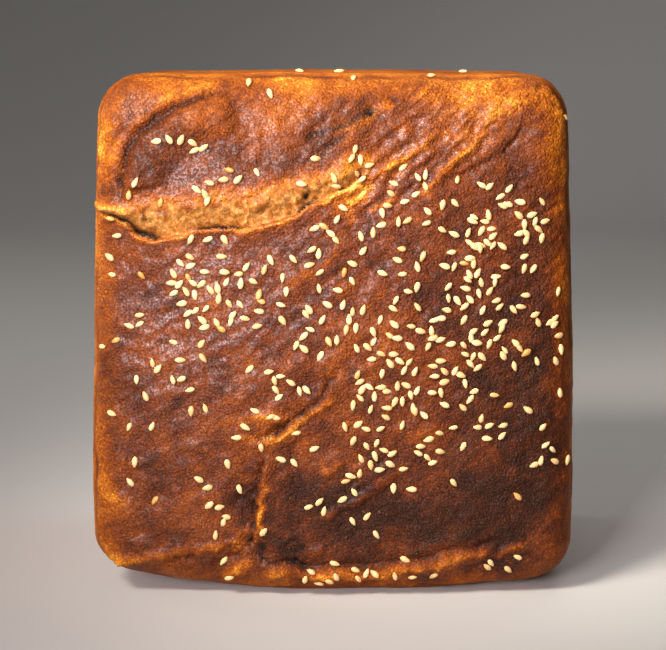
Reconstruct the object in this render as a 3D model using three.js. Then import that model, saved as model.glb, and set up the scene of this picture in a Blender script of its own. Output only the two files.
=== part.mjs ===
// Tin loaf with a burst top crust and sesame seeds, stood on one of its tin-side walls.
// Millimetres, +Z up. The top crust faces -Y, the flat base that lay in the tin faces +Y,
// and the origin is under the middle of the whole loaf, on the surface that it stands on.

import * as THREE from "three";
import { mergeVertices } from "three/addons/utils/BufferGeometryUtils.js";

// The loaf, before it is stood on its side
const WIDTH = 147.4; // across the top crust, side wall to side wall
const HEIGHT = 158.6; // the other way across the top crust
const DEPTH = 103; // from the shoulders of the top crust to the base
const DRAFT_DEGREES = 1.6; // each tin wall's slope, so that the loaf drops out of its tin
const CORNER_RADIUS = 13; // where one side wall turns into the next
const SHOULDER_RADIUS = 10; // where the walls turn into the top crust
const BASE_RADIUS = 5; // where the walls turn into the base
const DOME = 8.5; // rise of the middle of the top crust above its shoulders
const DOME_INSET = 0.12; // share of the depth over which the crust's dome and creases die away
const WALL_BULGE = 1.2; // how far the middle of a side wall stands out
const TOP_NARROWING = 3.6; // how much nearer the middle each side wall is at the top
const LEFT_CORNER_LIFT = 8.5; // how high the crust's lower left corner hangs over the table
const RIGHT_CORNER_LIFT = 5; // the same at its lower right corner
const SETTLE = 1; // how much of the lower wall's bulge is flat against the table
const BULGE_POWER = 2; // squareness of the dome and of the walls' bulge

// The mesh of the loaf
const ACROSS_STEPS = 30;
const DEPTH_STEPS = 12;
const HEIGHT_STEPS = 32;
const EDGE_CROWDING = 0.22; // how much closer the mesh lines are at the edges than in the middle
const CURVE_SAMPLES = 60;

// Relief of the top crust: each crease is a valley or a ridge along a line of [across, up]
// points from the middle of the crust. A minus sign on its rise makes it a valley.
const CREASES = {
  burst: {
    rise: -2.8,
    spread: 3.6,
    line: [[-67, 38], [-60, 34], [-54, 31], [-39, 34], [-25, 34], [-13, 38], [1, 43]],
  },
  upperLobe: { rise: 2.2, spread: 8, line: [[-58, 48], [-42, 49], [-24, 51], [0, 58], [12, 64]] },
  upperCrease: { rise: -1.4, spread: 4, line: [[-5, 62], [5, 63], [11, 66], [19, 70]] },
  stretchedRidge: { rise: 1.5, spread: 6, line: [[22, 50], [40, 60], [50, 68]] },
  rightCrease: { rise: -1.3, spread: 4, line: [[34, 47], [42, 51], [49, 55], [57, 64]] },
  middleFold: { rise: -2, spread: 4, line: [[-5, -15], [-9, -22], [-17, -29]] },
  lowerCrack: { rise: -2.6, spread: 4.5, line: [[-24, -43], [-26, -50], [-27, -60]] },
  lipOfCrack: { rise: 1.4, spread: 5, line: [[-20, -43], [-19, -56], [-12, -64]] },
  skirt: {
    rise: 1.4,
    spread: 4,
    line: [[-66, -68], [-43, -66], [-23, -70], [-5, -74], [35, -70], [55, -65]],
  },
};
const CREASE_FADE = 8; // distance from the crust's edge over which a crease runs out

// Sesame seeds
const SEED_LENGTH = 3.2;
const SEED_WIDTH = 1.7;
const SEED_THICKNESS = 0.9;
const SEED_SIDES = 8;
const SEED_GAP = 0.34; // clear of the crust
const SEED_TURN_DEGREES = 137.5; // how far each seed is turned from the one before
const RAY_START = 200; // in front of the crust

// Strings of seeds on the top crust: from one [across, up] point to another, with the bend
// of the string at its middle and how many seeds lie along it.
const SEED_STRINGS = [
  { from: [-52, 60], to: [-38, 58], bend: 1.5, count: 5 },
  { from: [-40, 46], to: [-28, 49], bend: 1, count: 4 },
  { from: [-42, 31], to: [-32, 31], bend: 0, count: 3 },
  { from: [-45, 24], to: [-45, 12], bend: -3, count: 5 },
  { from: [-43, 9], to: [-22, 10], bend: -3, count: 6 },
  { from: [-19, -8], to: [-10, -14], bend: 1, count: 4 },
  { from: [7, -1], to: [16, -14], bend: 2, count: 4 },
  { from: [6, -18], to: [25, -14], bend: -3, count: 5 },
  { from: [19, 2], to: [37, 13], bend: -2, count: 4 },
  { from: [40, 33], to: [50, 29], bend: 2, count: 4 },
  { from: [44, 47], to: [62, 42], bend: -2, count: 4 },
  { from: [55, 38], to: [62, 31], bend: 2, count: 3 },
  { from: [32, -5], to: [41, -17], bend: 2, count: 4 },
  { from: [6, -29], to: [14, -38], bend: 2, count: 4 },
];

const crustMaterial = new THREE.MeshStandardMaterial({ color: 0x6b2f12, roughness: 0.55, metalness: 0 });
const seedMaterial = new THREE.MeshStandardMaterial({ color: 0xe2c48a, roughness: 0.5, metalness: 0 });

// A smooth line through [across, up] points, as evenly spaced samples.
function sampledLine(points) {
  const curve = new THREE.CatmullRomCurve3(points.map(([across, up]) => new THREE.Vector3(across, 0, up)));
  return curve.getSpacedPoints(CURVE_SAMPLES);
}

const creaseLines = Object.values(CREASES).map(({ rise, spread, line }) => {
  return { rise, spread, samples: sampledLine(line) };
});

// Rise of the top crust at a point, from its creases alone.
function creaseRise(across, up) {
  const here = new THREE.Vector3(across, 0, up);
  let rise = 0;
  for (const crease of creaseLines) {
    const distance = Math.min(...crease.samples.map((sample) => sample.distanceTo(here)));
    rise += crease.rise * Math.exp(-((distance / crease.spread) ** 2));
  }
  const toEdge = Math.min(WIDTH / 2 - Math.abs(across), HEIGHT / 2 - Math.abs(up));
  return rise * THREE.MathUtils.smoothstep(toEdge, 0, CREASE_FADE);
}

// Moves mesh lines towards the edges of the unit box, where the loaf is round.
function crowd(t) {
  return t * (1 + EDGE_CROWDING) - t ** 3 * EDGE_CROWDING;
}

// How much of the middle's bulge is left at a share of the way out, from 1 in the middle to 0.
function swell(share) {
  return 1 - Math.min(1, Math.abs(share)) ** BULGE_POWER;
}

// Rounds a square edge: takes the distances of a point from the two faces that meet there,
// and gives them for the rounded edge.
function roundEdge(fromFirst, fromSecond, radius) {
  if (fromFirst >= radius || fromSecond >= radius) return [fromFirst, fromSecond];
  const spoke = new THREE.Vector2(radius - fromFirst, radius - fromSecond).setLength(radius);
  return [radius - spoke.x, radius - spoke.y];
}

// The point of the crust's rounded outline that lies towards a point of the unit square's edge.
function outlinePoint(across, up) {
  const half = new THREE.Vector2(WIDTH / 2, HEIGHT / 2);
  const core = half.clone().subScalar(CORNER_RADIUS);
  const point = new THREE.Vector2(across, up).multiply(half);
  const inner = point.clone().clamp(core.clone().negate(), core);
  return point.sub(inner).setLength(CORNER_RADIUS).add(inner);
}

// A point of the unit box as a point of the loaf: a rounded block first, then its draft, its
// dome and creases, the bulge of its walls and the rise of its lower corners.
function loafPoint(unit) {
  const share = new THREE.Vector3(crowd(unit.x), crowd(unit.y), crowd(unit.z));
  const reach = Math.max(Math.abs(share.x), Math.abs(share.z));
  const fromCrown = (DEPTH * (share.y + 1)) / 2;
  const [insetCrown, fromShoulder] = roundEdge(((1 - reach) * WIDTH) / 2, fromCrown, SHOULDER_RADIUS);
  const [inset, fromBase] = roundEdge(insetCrown, DEPTH - fromShoulder, BASE_RADIUS);
  const outline = reach > 0 ? outlinePoint(share.x / reach, share.z / reach) : new THREE.Vector2();
  outline.multiplyScalar(1 - (2 * inset) / WIDTH);
  const point = new THREE.Vector3(outline.x, DEPTH / 2 - fromBase, outline.y);

  const across = (2 * point.x) / WIDTH;
  const up = (2 * point.z) / HEIGHT;
  const towardsCrown = fromBase / DEPTH;
  const narrowing = (DEPTH - fromBase) * Math.tan(THREE.MathUtils.degToRad(DRAFT_DEGREES));
  const facing = THREE.MathUtils.smoothstep(towardsCrown, 1 - DOME_INSET, 1);
  const dome = (DOME * swell(across) * swell(up) + creaseRise(point.x, point.z)) * facing;
  const wall = WALL_BULGE * swell(1 - 2 * towardsCrown);
  const topNarrowing = TOP_NARROWING * ((up + 1) / 2) ** 2;
  const cornerLift = point.x < 0 ? LEFT_CORNER_LIFT : RIGHT_CORNER_LIFT;
  const lift = cornerLift * across ** 2 * Math.max(0, -up) ** 2 * towardsCrown ** 2;

  point.x += across * (wall * swell(up) - narrowing - topNarrowing);
  point.z += up * (wall * swell(across) - narrowing) + lift;
  point.y -= dome;
  return point;
}

// The loaf as one closed solid, stood on its lower wall: it leans back by the draft of that
// wall, and the middle of the wall is flat on the table.
function loafGeometry() {
  const geometry = new THREE.BoxGeometry(2, 2, 2, ACROSS_STEPS, DEPTH_STEPS, HEIGHT_STEPS);
  geometry.deleteAttribute("normal");
  geometry.deleteAttribute("uv");
  const merged = mergeVertices(geometry);
  const position = merged.getAttribute("position");
  const lean = new THREE.Matrix4().makeRotationX(-THREE.MathUtils.degToRad(DRAFT_DEGREES));
  const points = [];
  for (let i = 0; i < position.count; i++) {
    const unit = new THREE.Vector3().fromBufferAttribute(position, i);
    points.push(loafPoint(unit).applyMatrix4(lean));
  }
  const lowest = Math.min(...points.map((point) => point.z));
  points.forEach((point, i) => {
    const height = Math.max(0, point.z - lowest - SETTLE);
    position.setXYZ(i, point.x, point.y, height);
  });
  merged.computeVertexNormals();
  return merged;
}

// A sesame seed lying flat: a flattened drop with its point at one end.
function seedGeometry() {
  const profile = [
    [0, -0.5],
    [0.3, -0.42],
    [0.5, -0.16],
    [0.4, 0.16],
    [0.16, 0.42],
    [0, 0.5],
  ];
  const points = profile.map(([radius, along]) => {
    return new THREE.Vector2(radius * SEED_WIDTH, along * SEED_LENGTH);
  });
  const geometry = new THREE.LatheGeometry(points, SEED_SIDES);
  geometry.scale(1, 1, SEED_THICKNESS / SEED_WIDTH);
  return geometry;
}

// The spots of a string of seeds, as [across, up] points along a shallow arc.
function stringSpots({ from, to, bend, count }) {
  const start = new THREE.Vector2(...from);
  const end = new THREE.Vector2(...to);
  const sideways = end.clone().sub(start).normalize().rotateAround(new THREE.Vector2(), Math.PI / 2);
  return Array.from({ length: count }, (_, i) => {
    const share = count > 1 ? i / (count - 1) : 0;
    const spot = start.clone().lerp(end, share);
    return spot.addScaledVector(sideways, bend * swell(2 * share - 1));
  });
}

// Lays a seed on the crust at a spot, flat against the face that it meets there.
function laySeed(seed, spot, turn, loaf, middleHeight) {
  const origin = new THREE.Vector3(spot.x, -RAY_START, spot.y + middleHeight);
  const ray = new THREE.Raycaster(origin, new THREE.Vector3(0, 1, 0));
  const hit = ray.intersectObject(loaf)[0];
  const outward = hit.face.normal;
  const facing = new THREE.Quaternion().setFromUnitVectors(new THREE.Vector3(0, 0, 1), outward);
  const turned = new THREE.Quaternion().setFromAxisAngle(new THREE.Vector3(0, 0, 1), turn);
  seed.quaternion.copy(facing.multiply(turned));
  seed.position.copy(hit.point).addScaledVector(outward, SEED_THICKNESS / 2 + SEED_GAP);
}

const assembly = new THREE.Group();

const loaf = new THREE.Mesh(loafGeometry(), crustMaterial);
loaf.name = "loaf";
assembly.add(loaf);
loaf.updateMatrixWorld(true);
const loafBox = new THREE.Box3().setFromObject(loaf);
const middleHeight = (loafBox.min.z + loafBox.max.z) / 2;

const oneSeed = seedGeometry();
SEED_STRINGS.flatMap(stringSpots).forEach((spot, i) => {
  const seed = new THREE.Mesh(oneSeed, seedMaterial);
  seed.name = "sesame_" + String(i + 1).padStart(2, "0");
  laySeed(seed, spot, THREE.MathUtils.degToRad(SEED_TURN_DEGREES * i), loaf, middleHeight);
  assembly.add(seed);
});

assembly.updateMatrixWorld(true);
const wholeBox = new THREE.Box3().setFromObject(assembly, true);
const middle = wholeBox.getCenter(new THREE.Vector3());
assembly.position.set(-middle.x, -middle.y, 0);

const part = new THREE.Group();
part.name = "tin_loaf";
part.add(assembly);

export default part;
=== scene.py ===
"""Looks of a tin loaf that stands on one of its tin-side walls.

Its burst and seeded top crust faces -Y and the base that lay in the tin faces +Y. The frame gives the
boxes of the loaf and of its seeds in metres. The shapes of the crust are worked out in millimetres:
how far across the top crust a place is, and how far up it from its middle.
"""

import logging
import math
from collections.abc import Iterable, Sequence
from dataclasses import dataclass, field
from enum import Enum

import bmesh
import bpy
import numpy as np
from mathutils import Matrix, Vector, noise
from mathutils.bvhtree import BVHTree


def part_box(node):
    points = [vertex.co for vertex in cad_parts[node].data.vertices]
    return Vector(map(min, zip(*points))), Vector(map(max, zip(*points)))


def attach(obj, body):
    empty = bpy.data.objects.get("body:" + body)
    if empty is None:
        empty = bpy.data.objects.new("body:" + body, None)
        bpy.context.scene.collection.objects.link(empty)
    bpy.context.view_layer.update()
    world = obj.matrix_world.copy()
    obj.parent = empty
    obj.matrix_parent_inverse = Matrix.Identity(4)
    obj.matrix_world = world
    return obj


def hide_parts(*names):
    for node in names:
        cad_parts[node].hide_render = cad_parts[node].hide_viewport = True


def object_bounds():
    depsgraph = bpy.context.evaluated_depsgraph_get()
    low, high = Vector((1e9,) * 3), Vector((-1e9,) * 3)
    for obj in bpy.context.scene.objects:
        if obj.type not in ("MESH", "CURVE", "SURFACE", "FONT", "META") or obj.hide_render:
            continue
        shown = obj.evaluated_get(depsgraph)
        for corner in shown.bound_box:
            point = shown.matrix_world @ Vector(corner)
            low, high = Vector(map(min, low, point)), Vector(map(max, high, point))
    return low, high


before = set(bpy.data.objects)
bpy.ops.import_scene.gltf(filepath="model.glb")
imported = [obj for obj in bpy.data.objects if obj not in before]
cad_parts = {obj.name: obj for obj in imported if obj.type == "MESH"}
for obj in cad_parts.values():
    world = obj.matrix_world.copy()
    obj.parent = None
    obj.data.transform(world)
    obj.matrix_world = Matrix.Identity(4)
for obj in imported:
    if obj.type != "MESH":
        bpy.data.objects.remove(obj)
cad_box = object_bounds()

MM = 0.001
BODY = "root"
LINE_STEP = 0.7  # about how far apart the samples of a smooth line are, in millimetres
NOISE_GAIN = 1.4  # brings the noise to about -1 to 1
PAINTED = ("bake", "crumb", "char", "gloss", "facing")  # what is painted on the crust

Array = np.ndarray
Spot = tuple[float, float]
Place = tuple[float, float, float]
Colour = tuple[float, float, float]
Line = Sequence[Spot]

log = logging.getLogger("tin_loaf")


# Shared mathematics


def smooth_step(value: Array, low: float, high: float) -> Array:
    """A soft switch.

    Args:
        value: What is compared.
        low: Value up to which the result is 0.
        high: Value from which the result is 1.

    Returns:
        A share from 0 to 1 for each value.
    """
    share = np.clip((value - low) / (high - low), 0.0, 1.0)
    return share * share * (3.0 - 2.0 * share)


def noise_at(places: Array, size: float | Place, octaves: int = 1) -> Array:
    """Smooth noise of about -1 to 1.

    Args:
        places: Places in millimetres, one in each row.
        size: Width of one swell in millimetres, or one width for each axis.
        octaves: Layers of noise, each half as wide and half as strong as the one before.

    Returns:
        The noise at each place.
    """
    scaled = (places / np.asarray(size, float)).tolist()
    values = (noise.fractal(place, 1.0, 2.0, octaves) for place in scaled)
    return np.fromiter(values, float, len(places)) * NOISE_GAIN


def cells_at(places: Array, size: float | Place) -> Array:
    """Distance to the middle of the nearest of many random cells.

    Args:
        places: Places in millimetres, one in each row.
        size: Width of a cell in millimetres, or one width for each axis.

    Returns:
        The distance at each place, in widths of a cell.
    """
    scaled = (places / np.asarray(size, float)).tolist()
    values = (noise.voronoi(place)[0][0] for place in scaled)
    return np.fromiter(values, float, len(places))


def smooth_line(points: Line) -> Array:
    """A smooth line through points.

    Args:
        points: The points that the line goes through, in millimetres.

    Returns:
        Places along the line, one in each row.
    """
    knots = np.array([points[0], *points, points[-1]], float)
    rows = []
    for before, start, end, after in zip(knots, knots[1:], knots[2:], knots[3:]):
        count = max(2, int(np.hypot(*(end - start)) / LINE_STEP))
        t = np.linspace(0.0, 1.0, count, endpoint=False)[:, None]
        linear = (end - before) * t
        square = (2.0 * before - 5.0 * start + 4.0 * end - after) * t**2
        cube = (3.0 * start - before - 3.0 * end + after) * t**3
        rows.append(start + 0.5 * (linear + square + cube))
    return np.vstack([*rows, knots[-1:]])


def rotated(spots: Array, degrees: float) -> Array:
    """Places in axes that are turned anticlockwise.

    Args:
        spots: Places, one in each row, across and up.
        degrees: How far the axes are turned.

    Returns:
        The places along and across the turned first axis.
    """
    turn = math.radians(degrees)
    along = spots[:, 0] * math.cos(turn) + spots[:, 1] * math.sin(turn)
    aside = spots[:, 1] * math.cos(turn) - spots[:, 0] * math.sin(turn)
    return np.column_stack([along, aside])


# The loaf's plain form


def round_edge(first: Array, second: Array, radius: float) -> tuple[Array, Array]:
    """Rounds the square edge where two faces meet.

    Args:
        first: Distance of each point from the first face.
        second: Distance of each point from the second face.
        radius: The rounding's radius.

    Returns:
        The same two distances on the rounded edge.
    """
    near = (first < radius) & (second < radius)
    length = np.hypot(radius - first, radius - second)
    scale = radius / np.where(near, length, radius)
    rounded_first = radius - (radius - first) * scale
    rounded_second = radius - (radius - second) * scale
    return np.where(near, rounded_first, first), np.where(near, rounded_second, second)


@dataclass(frozen=True)
class LoafForm:
    """The loaf without its relief, in millimetres, by the sizes of its construction.

    A share is a point of a box from -1 to 1 each way: x across, z up, and y from the top crust at
    -1 to the base at 1.
    """

    width: float = 147.4
    height: float = 158.6
    depth: float = 103.0
    draft_degrees: float = 1.6
    corner_radius: float = 13.0
    shoulder_radius: float = 10.0
    base_radius: float = 5.0
    dome: float = 8.5
    dome_inset: float = 0.12
    wall_bulge: float = 1.2
    top_narrowing: float = 3.6
    left_corner_lift: float = 8.5
    right_corner_lift: float = 5.0
    settle: float = 1.0

    def outline(self, share: Array) -> Array:
        """The rounded outline of the top crust.

        Args:
            share: Points on the edge of the unit square.

        Returns:
            The outline's point towards each of them.
        """
        half = np.array([self.width, self.height]) / 2.0
        core = half - self.corner_radius
        point = share * half
        inner = np.clip(point, -core, core)
        spoke = point - inner
        length = np.maximum(np.linalg.norm(spoke, axis=1, keepdims=True), 1e-9)
        return inner + spoke * (self.corner_radius / length)

    def places(self, share: Array) -> Array:
        """Points of the loaf.

        Args:
            share: Points on the faces of the unit box, one in each row.

        Returns:
            Their places on the standing loaf, with its lowest point at z = 0.
        """
        reach = np.max(np.abs(share[:, [0, 2]]), axis=1)
        from_crown = self.depth * (share[:, 1] + 1.0) / 2.0
        from_wall = (1.0 - reach) * self.width / 2.0
        inset, from_shoulder = round_edge(from_wall, from_crown, self.shoulder_radius)
        inset, from_base = round_edge(inset, self.depth - from_shoulder, self.base_radius)
        edge = share[:, [0, 2]] / np.maximum(reach, 1e-9)[:, None]
        edge = np.where(reach[:, None] > 1e-9, edge, [1.0, 0.0])
        outline = self.outline(edge) * (1.0 - 2.0 * inset / self.width)[:, None]

        x, z = outline[:, 0], outline[:, 1]
        across = 2.0 * x / self.width
        up = 2.0 * z / self.height
        towards_crown = from_base / self.depth
        slope = math.tan(math.radians(self.draft_degrees))
        narrowing = (self.depth - from_base) * slope
        facing = smooth_step(towards_crown, 1.0 - self.dome_inset, 1.0)
        swell_across = 1.0 - np.minimum(1.0, np.abs(across)) ** 2
        swell_up = 1.0 - np.minimum(1.0, np.abs(up)) ** 2
        wall = self.wall_bulge * (1.0 - np.minimum(1.0, np.abs(1.0 - 2.0 * towards_crown)) ** 2)
        top_narrowing = self.top_narrowing * ((up + 1.0) / 2.0) ** 2
        corner_lift = np.where(x < 0.0, self.left_corner_lift, self.right_corner_lift)
        lift = corner_lift * across**2 * np.maximum(0.0, -up) ** 2 * towards_crown**2

        y = self.depth / 2.0 - from_base - self.dome * swell_across * swell_up * facing
        x = x + across * (wall * swell_up - narrowing - top_narrowing)
        z = z + up * (wall * swell_across - narrowing) + lift
        lean = math.radians(self.draft_degrees)
        leaning_y = y * math.cos(lean) + z * math.sin(lean)
        leaning_z = z * math.cos(lean) - y * math.sin(lean)
        return np.column_stack([x, leaning_y, leaning_z - leaning_z.min() - self.settle])

    def middle_height(self) -> float:
        """Height of the middle of the standing top crust."""
        return self.height / 2.0


# Lines on the top crust


@dataclass
class Skin:
    """What is known and painted at each vertex of the crust.

    Attributes:
        places: Where the plain form has each vertex, in millimetres.
        spots: How far across and up the top crust each vertex is, strayed a little.
        facing: How far each vertex belongs to the top crust, from 0 to 1.
        rise: How far the relief moves each vertex outwards, in millimetres.
        bake: How dark the crust is baked, from 0, golden, to 1, nearly black, with painted shade added in
            hollows, in the rim's groove and at the lower right.
        crumb: Where torn crumb shows, from 0 to 1.
        char: Where the crust is burnt, and where creases, gaps and pits are painted black as painted shade,
            from 0 to 1.
        gloss: How glossy the crust is, from 0 to 1.
    """

    places: Array
    spots: Array
    facing: Array
    rise: Array = field(init=False)
    bake: Array = field(init=False)
    crumb: Array = field(init=False)
    char: Array = field(init=False)
    gloss: Array = field(init=False)

    def __post_init__(self) -> None:
        """Starts with a flat, unpainted crust."""
        for name in ("rise", "bake", "crumb", "char", "gloss"):
            setattr(self, name, np.zeros(len(self.places)))


class Track:
    """A smooth line on the top crust that finds the vertices near it."""

    def __init__(self, line: Line) -> None:
        """Samples the line.

        Args:
            line: The points that it goes through, in millimetres across and up.
        """
        self.samples = smooth_line(line)
        ahead = np.gradient(self.samples, axis=0)
        self.ahead = ahead / np.maximum(np.linalg.norm(ahead, axis=1, keepdims=True), 1e-9)

    def near(self, spots: Array, reach: float) -> tuple[Array, Array, Array]:
        """Measures the vertices near the line.

        Args:
            spots: Places on the crust.
            reach: How far from the line they still count.

        Returns:
            Their indices, their distances from the line, which are positive on its left side and
            negative on its right, and how far along the line each is, from 0 to 1.
        """
        low = self.samples.min(axis=0) - reach
        high = self.samples.max(axis=0) + reach
        chosen = np.flatnonzero(np.all((spots > low) & (spots < high), axis=1))
        if len(chosen) == 0:
            return chosen, np.zeros(0), np.zeros(0)
        offset = spots[chosen, None, :] - self.samples[None, :, :]
        nearest = np.argmin(np.einsum("ijk,ijk->ij", offset, offset), axis=1)
        offset = offset[np.arange(len(chosen)), nearest]
        ahead = self.ahead[nearest]
        aside = ahead[:, 0] * offset[:, 1] - ahead[:, 1] * offset[:, 0]
        along = np.einsum("ij,ij->i", ahead, offset)
        last = len(self.samples) - 1
        beyond = np.where(nearest == 0, np.maximum(0.0, -along), 0.0)
        beyond = np.where(nearest == last, np.maximum(0.0, along), beyond)
        side = np.where(aside < 0.0, -1.0, 1.0)
        distance = side * np.hypot(aside, beyond)
        close = np.abs(distance) < reach
        return chosen[close], distance[close], nearest[close] / last


class Profile(Enum):
    """The cross-section of a line in the crust."""

    RIDGE = "raised on both sides"
    VALLEY = "sunk on both sides, with a sharp bottom"
    FOLD = "raised on the left side and sunk on the right"
    PILLOW = "swelling roundly on the left side from a groove along the line"


@dataclass(frozen=True)
class Crease:
    """A line where the crust folded, cracked or stretched, in millimetres.

    Attributes:
        line: The points it goes through. The left side is on the left hand on the way along it.
        profile: Its cross-section.
        rise: Height of the raised part.
        run: Distance over which the raised part dies away.
        dip: Depth of the sunk part.
        dip_run: Distance over which the sunk part dies away.
        paler: How much less the raised part is baked.
        crease_shade: How much of the sunk part is black.
        ends: Share of its length over which each end runs out.
        dulled: How much gloss the line loses.
        waver: How far the line strays, in millimetres.
    """

    line: Line
    profile: Profile
    rise: float = 0.0
    run: float = 1.0
    dip: float = 0.0
    dip_run: float = 1.0
    paler: float = 0.0
    crease_shade: float = 0.0
    ends: float = 0.25
    dulled: float = 0.25
    waver: float = 0.55

    def press(self, skin: Skin) -> None:
        """Shapes and paints the crust along the line.

        Args:
            skin: The crust, which is changed.
        """
        reach = 3.0 * max(self.run, self.dip_run)
        chosen, aside, along = Track(self.line).near(skin.spots, reach)
        aside = aside + self.waver * noise_at(skin.places[chosen] + 17.0, 2.4, 2)
        if self.ends > 0.0:
            taper = smooth_step(along, 0.0, self.ends) * smooth_step(1.0 - along, 0.0, self.ends)
        else:
            taper = np.ones(len(along))
        taper = taper * skin.facing[chosen] * smooth_step(reach - np.abs(aside), 0.0, 0.4 * reach)
        taper = taper * (1.0 + 0.3 * noise_at(skin.places[chosen] + 71.0, 4.0, 2))
        if self.profile is Profile.RIDGE:
            raised = np.exp(-((aside / self.run) ** 2))
            sunk = np.zeros(len(aside))
        elif self.profile is Profile.VALLEY:
            sunk = np.exp(-np.abs(aside) / self.dip_run)
            raised = np.exp(-(((np.abs(aside) - 2.0 * self.dip_run) / self.run) ** 2))
        elif self.profile is Profile.FOLD:
            raised = np.where(aside >= 0.0, np.exp(-aside / self.run), 0.0)
            sunk = np.where(aside < 0.0, np.exp(aside / self.dip_run), 0.0)
        else:
            climb = np.maximum(0.0, aside) / self.run
            raised = climb * np.exp(1.0 - climb)
            sunk = np.exp(-np.abs(aside) / self.dip_run)
        skin.rise[chosen] += (self.rise * raised - self.dip * sunk) * taper
        skin.bake[chosen] -= self.paler * raised * taper
        # The sunk side is painted black: painted shade in the crease.
        skin.char[chosen] += self.crease_shade * sunk * taper
        skin.gloss[chosen] -= self.dulled * (raised + sunk) * taper


@dataclass(frozen=True)
class Patch:
    """A soft oval of the crust that is baked, raised or burnt differently, or darkened as painted shade.

    Attributes:
        spot: Its middle, in millimetres across and up.
        size: Its half width and half height.
        turn: How far it is turned anticlockwise, in degrees.
        bake: How much darker it is: more baked, and in some ovals painted shade.
        rise: How far it is raised, in millimetres.
        char: How much of it is painted black: burnt crust, and painted shade in sunk pits.
        gloss: How much glossier it is.
        ragged: How irregular its outline is, from 0 to about 1.
    """

    spot: Spot
    size: Spot
    turn: float = 0.0
    bake: float = 0.0
    rise: float = 0.0
    char: float = 0.0
    gloss: float = 0.0
    ragged: float = 0.35

    def press(self, skin: Skin) -> None:
        """Shapes and paints the crust inside the oval.

        Args:
            skin: The crust, which is changed.
        """
        own = rotated(skin.spots - np.array(self.spot), self.turn) / np.array(self.size)
        near = np.flatnonzero(np.sum(own**2, axis=1) < 6.0)
        swing = noise_at(skin.places[near], 0.6 * min(self.size) + 1.0, 2)
        distance = np.linalg.norm(own[near], axis=1) * (1.0 + self.ragged * swing)
        weight = np.exp(-(distance**2) * 1.5) * skin.facing[near]
        skin.bake[near] += self.bake * weight
        skin.rise[near] += self.rise * weight
        skin.char[near] += self.char * weight
        skin.gloss[near] += self.gloss * weight


@dataclass(frozen=True)
class Grain:
    """A soft oval where the dough was stretched into fine parallel wrinkles, in millimetres.

    Attributes:
        spot: Its middle, across and up.
        size: Its half width and half height, along and across the wrinkles.
        turn: Direction of the wrinkles, in degrees anticlockwise from across.
        length: Usual length of a wrinkle.
        width: Usual width of a wrinkle.
        height: How far they stand out.
        paler: How much paler their crests are.
    """

    spot: Spot
    size: Spot
    turn: float
    length: float
    width: float
    height: float
    paler: float = 0.0

    def press(self, skin: Skin) -> None:
        """Wrinkles the crust inside the oval.

        Args:
            skin: The crust, which is changed.
        """
        own = rotated(skin.spots - np.array(self.spot), self.turn)
        near = np.flatnonzero(np.sum((own / np.array(self.size)) ** 2, axis=1) < 4.0)
        own = own[near]
        weight = np.exp(-np.sum((own / np.array(self.size)) ** 2, axis=1)) * skin.facing[near]
        bend = 0.8 * noise_at(skin.places[near], 9.0)
        flat = np.column_stack([own[:, 0], own[:, 1] + bend, np.zeros(len(own))])
        fibres = noise_at(flat, (self.length, self.width, 1.0), 2)
        folds = 1.0 - 2.0 * np.minimum(1.0, np.abs(fibres) * 1.6)
        skin.rise[near] += self.height * folds * weight
        skin.bake[near] -= self.paler * np.maximum(0.0, folds) * weight


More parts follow.
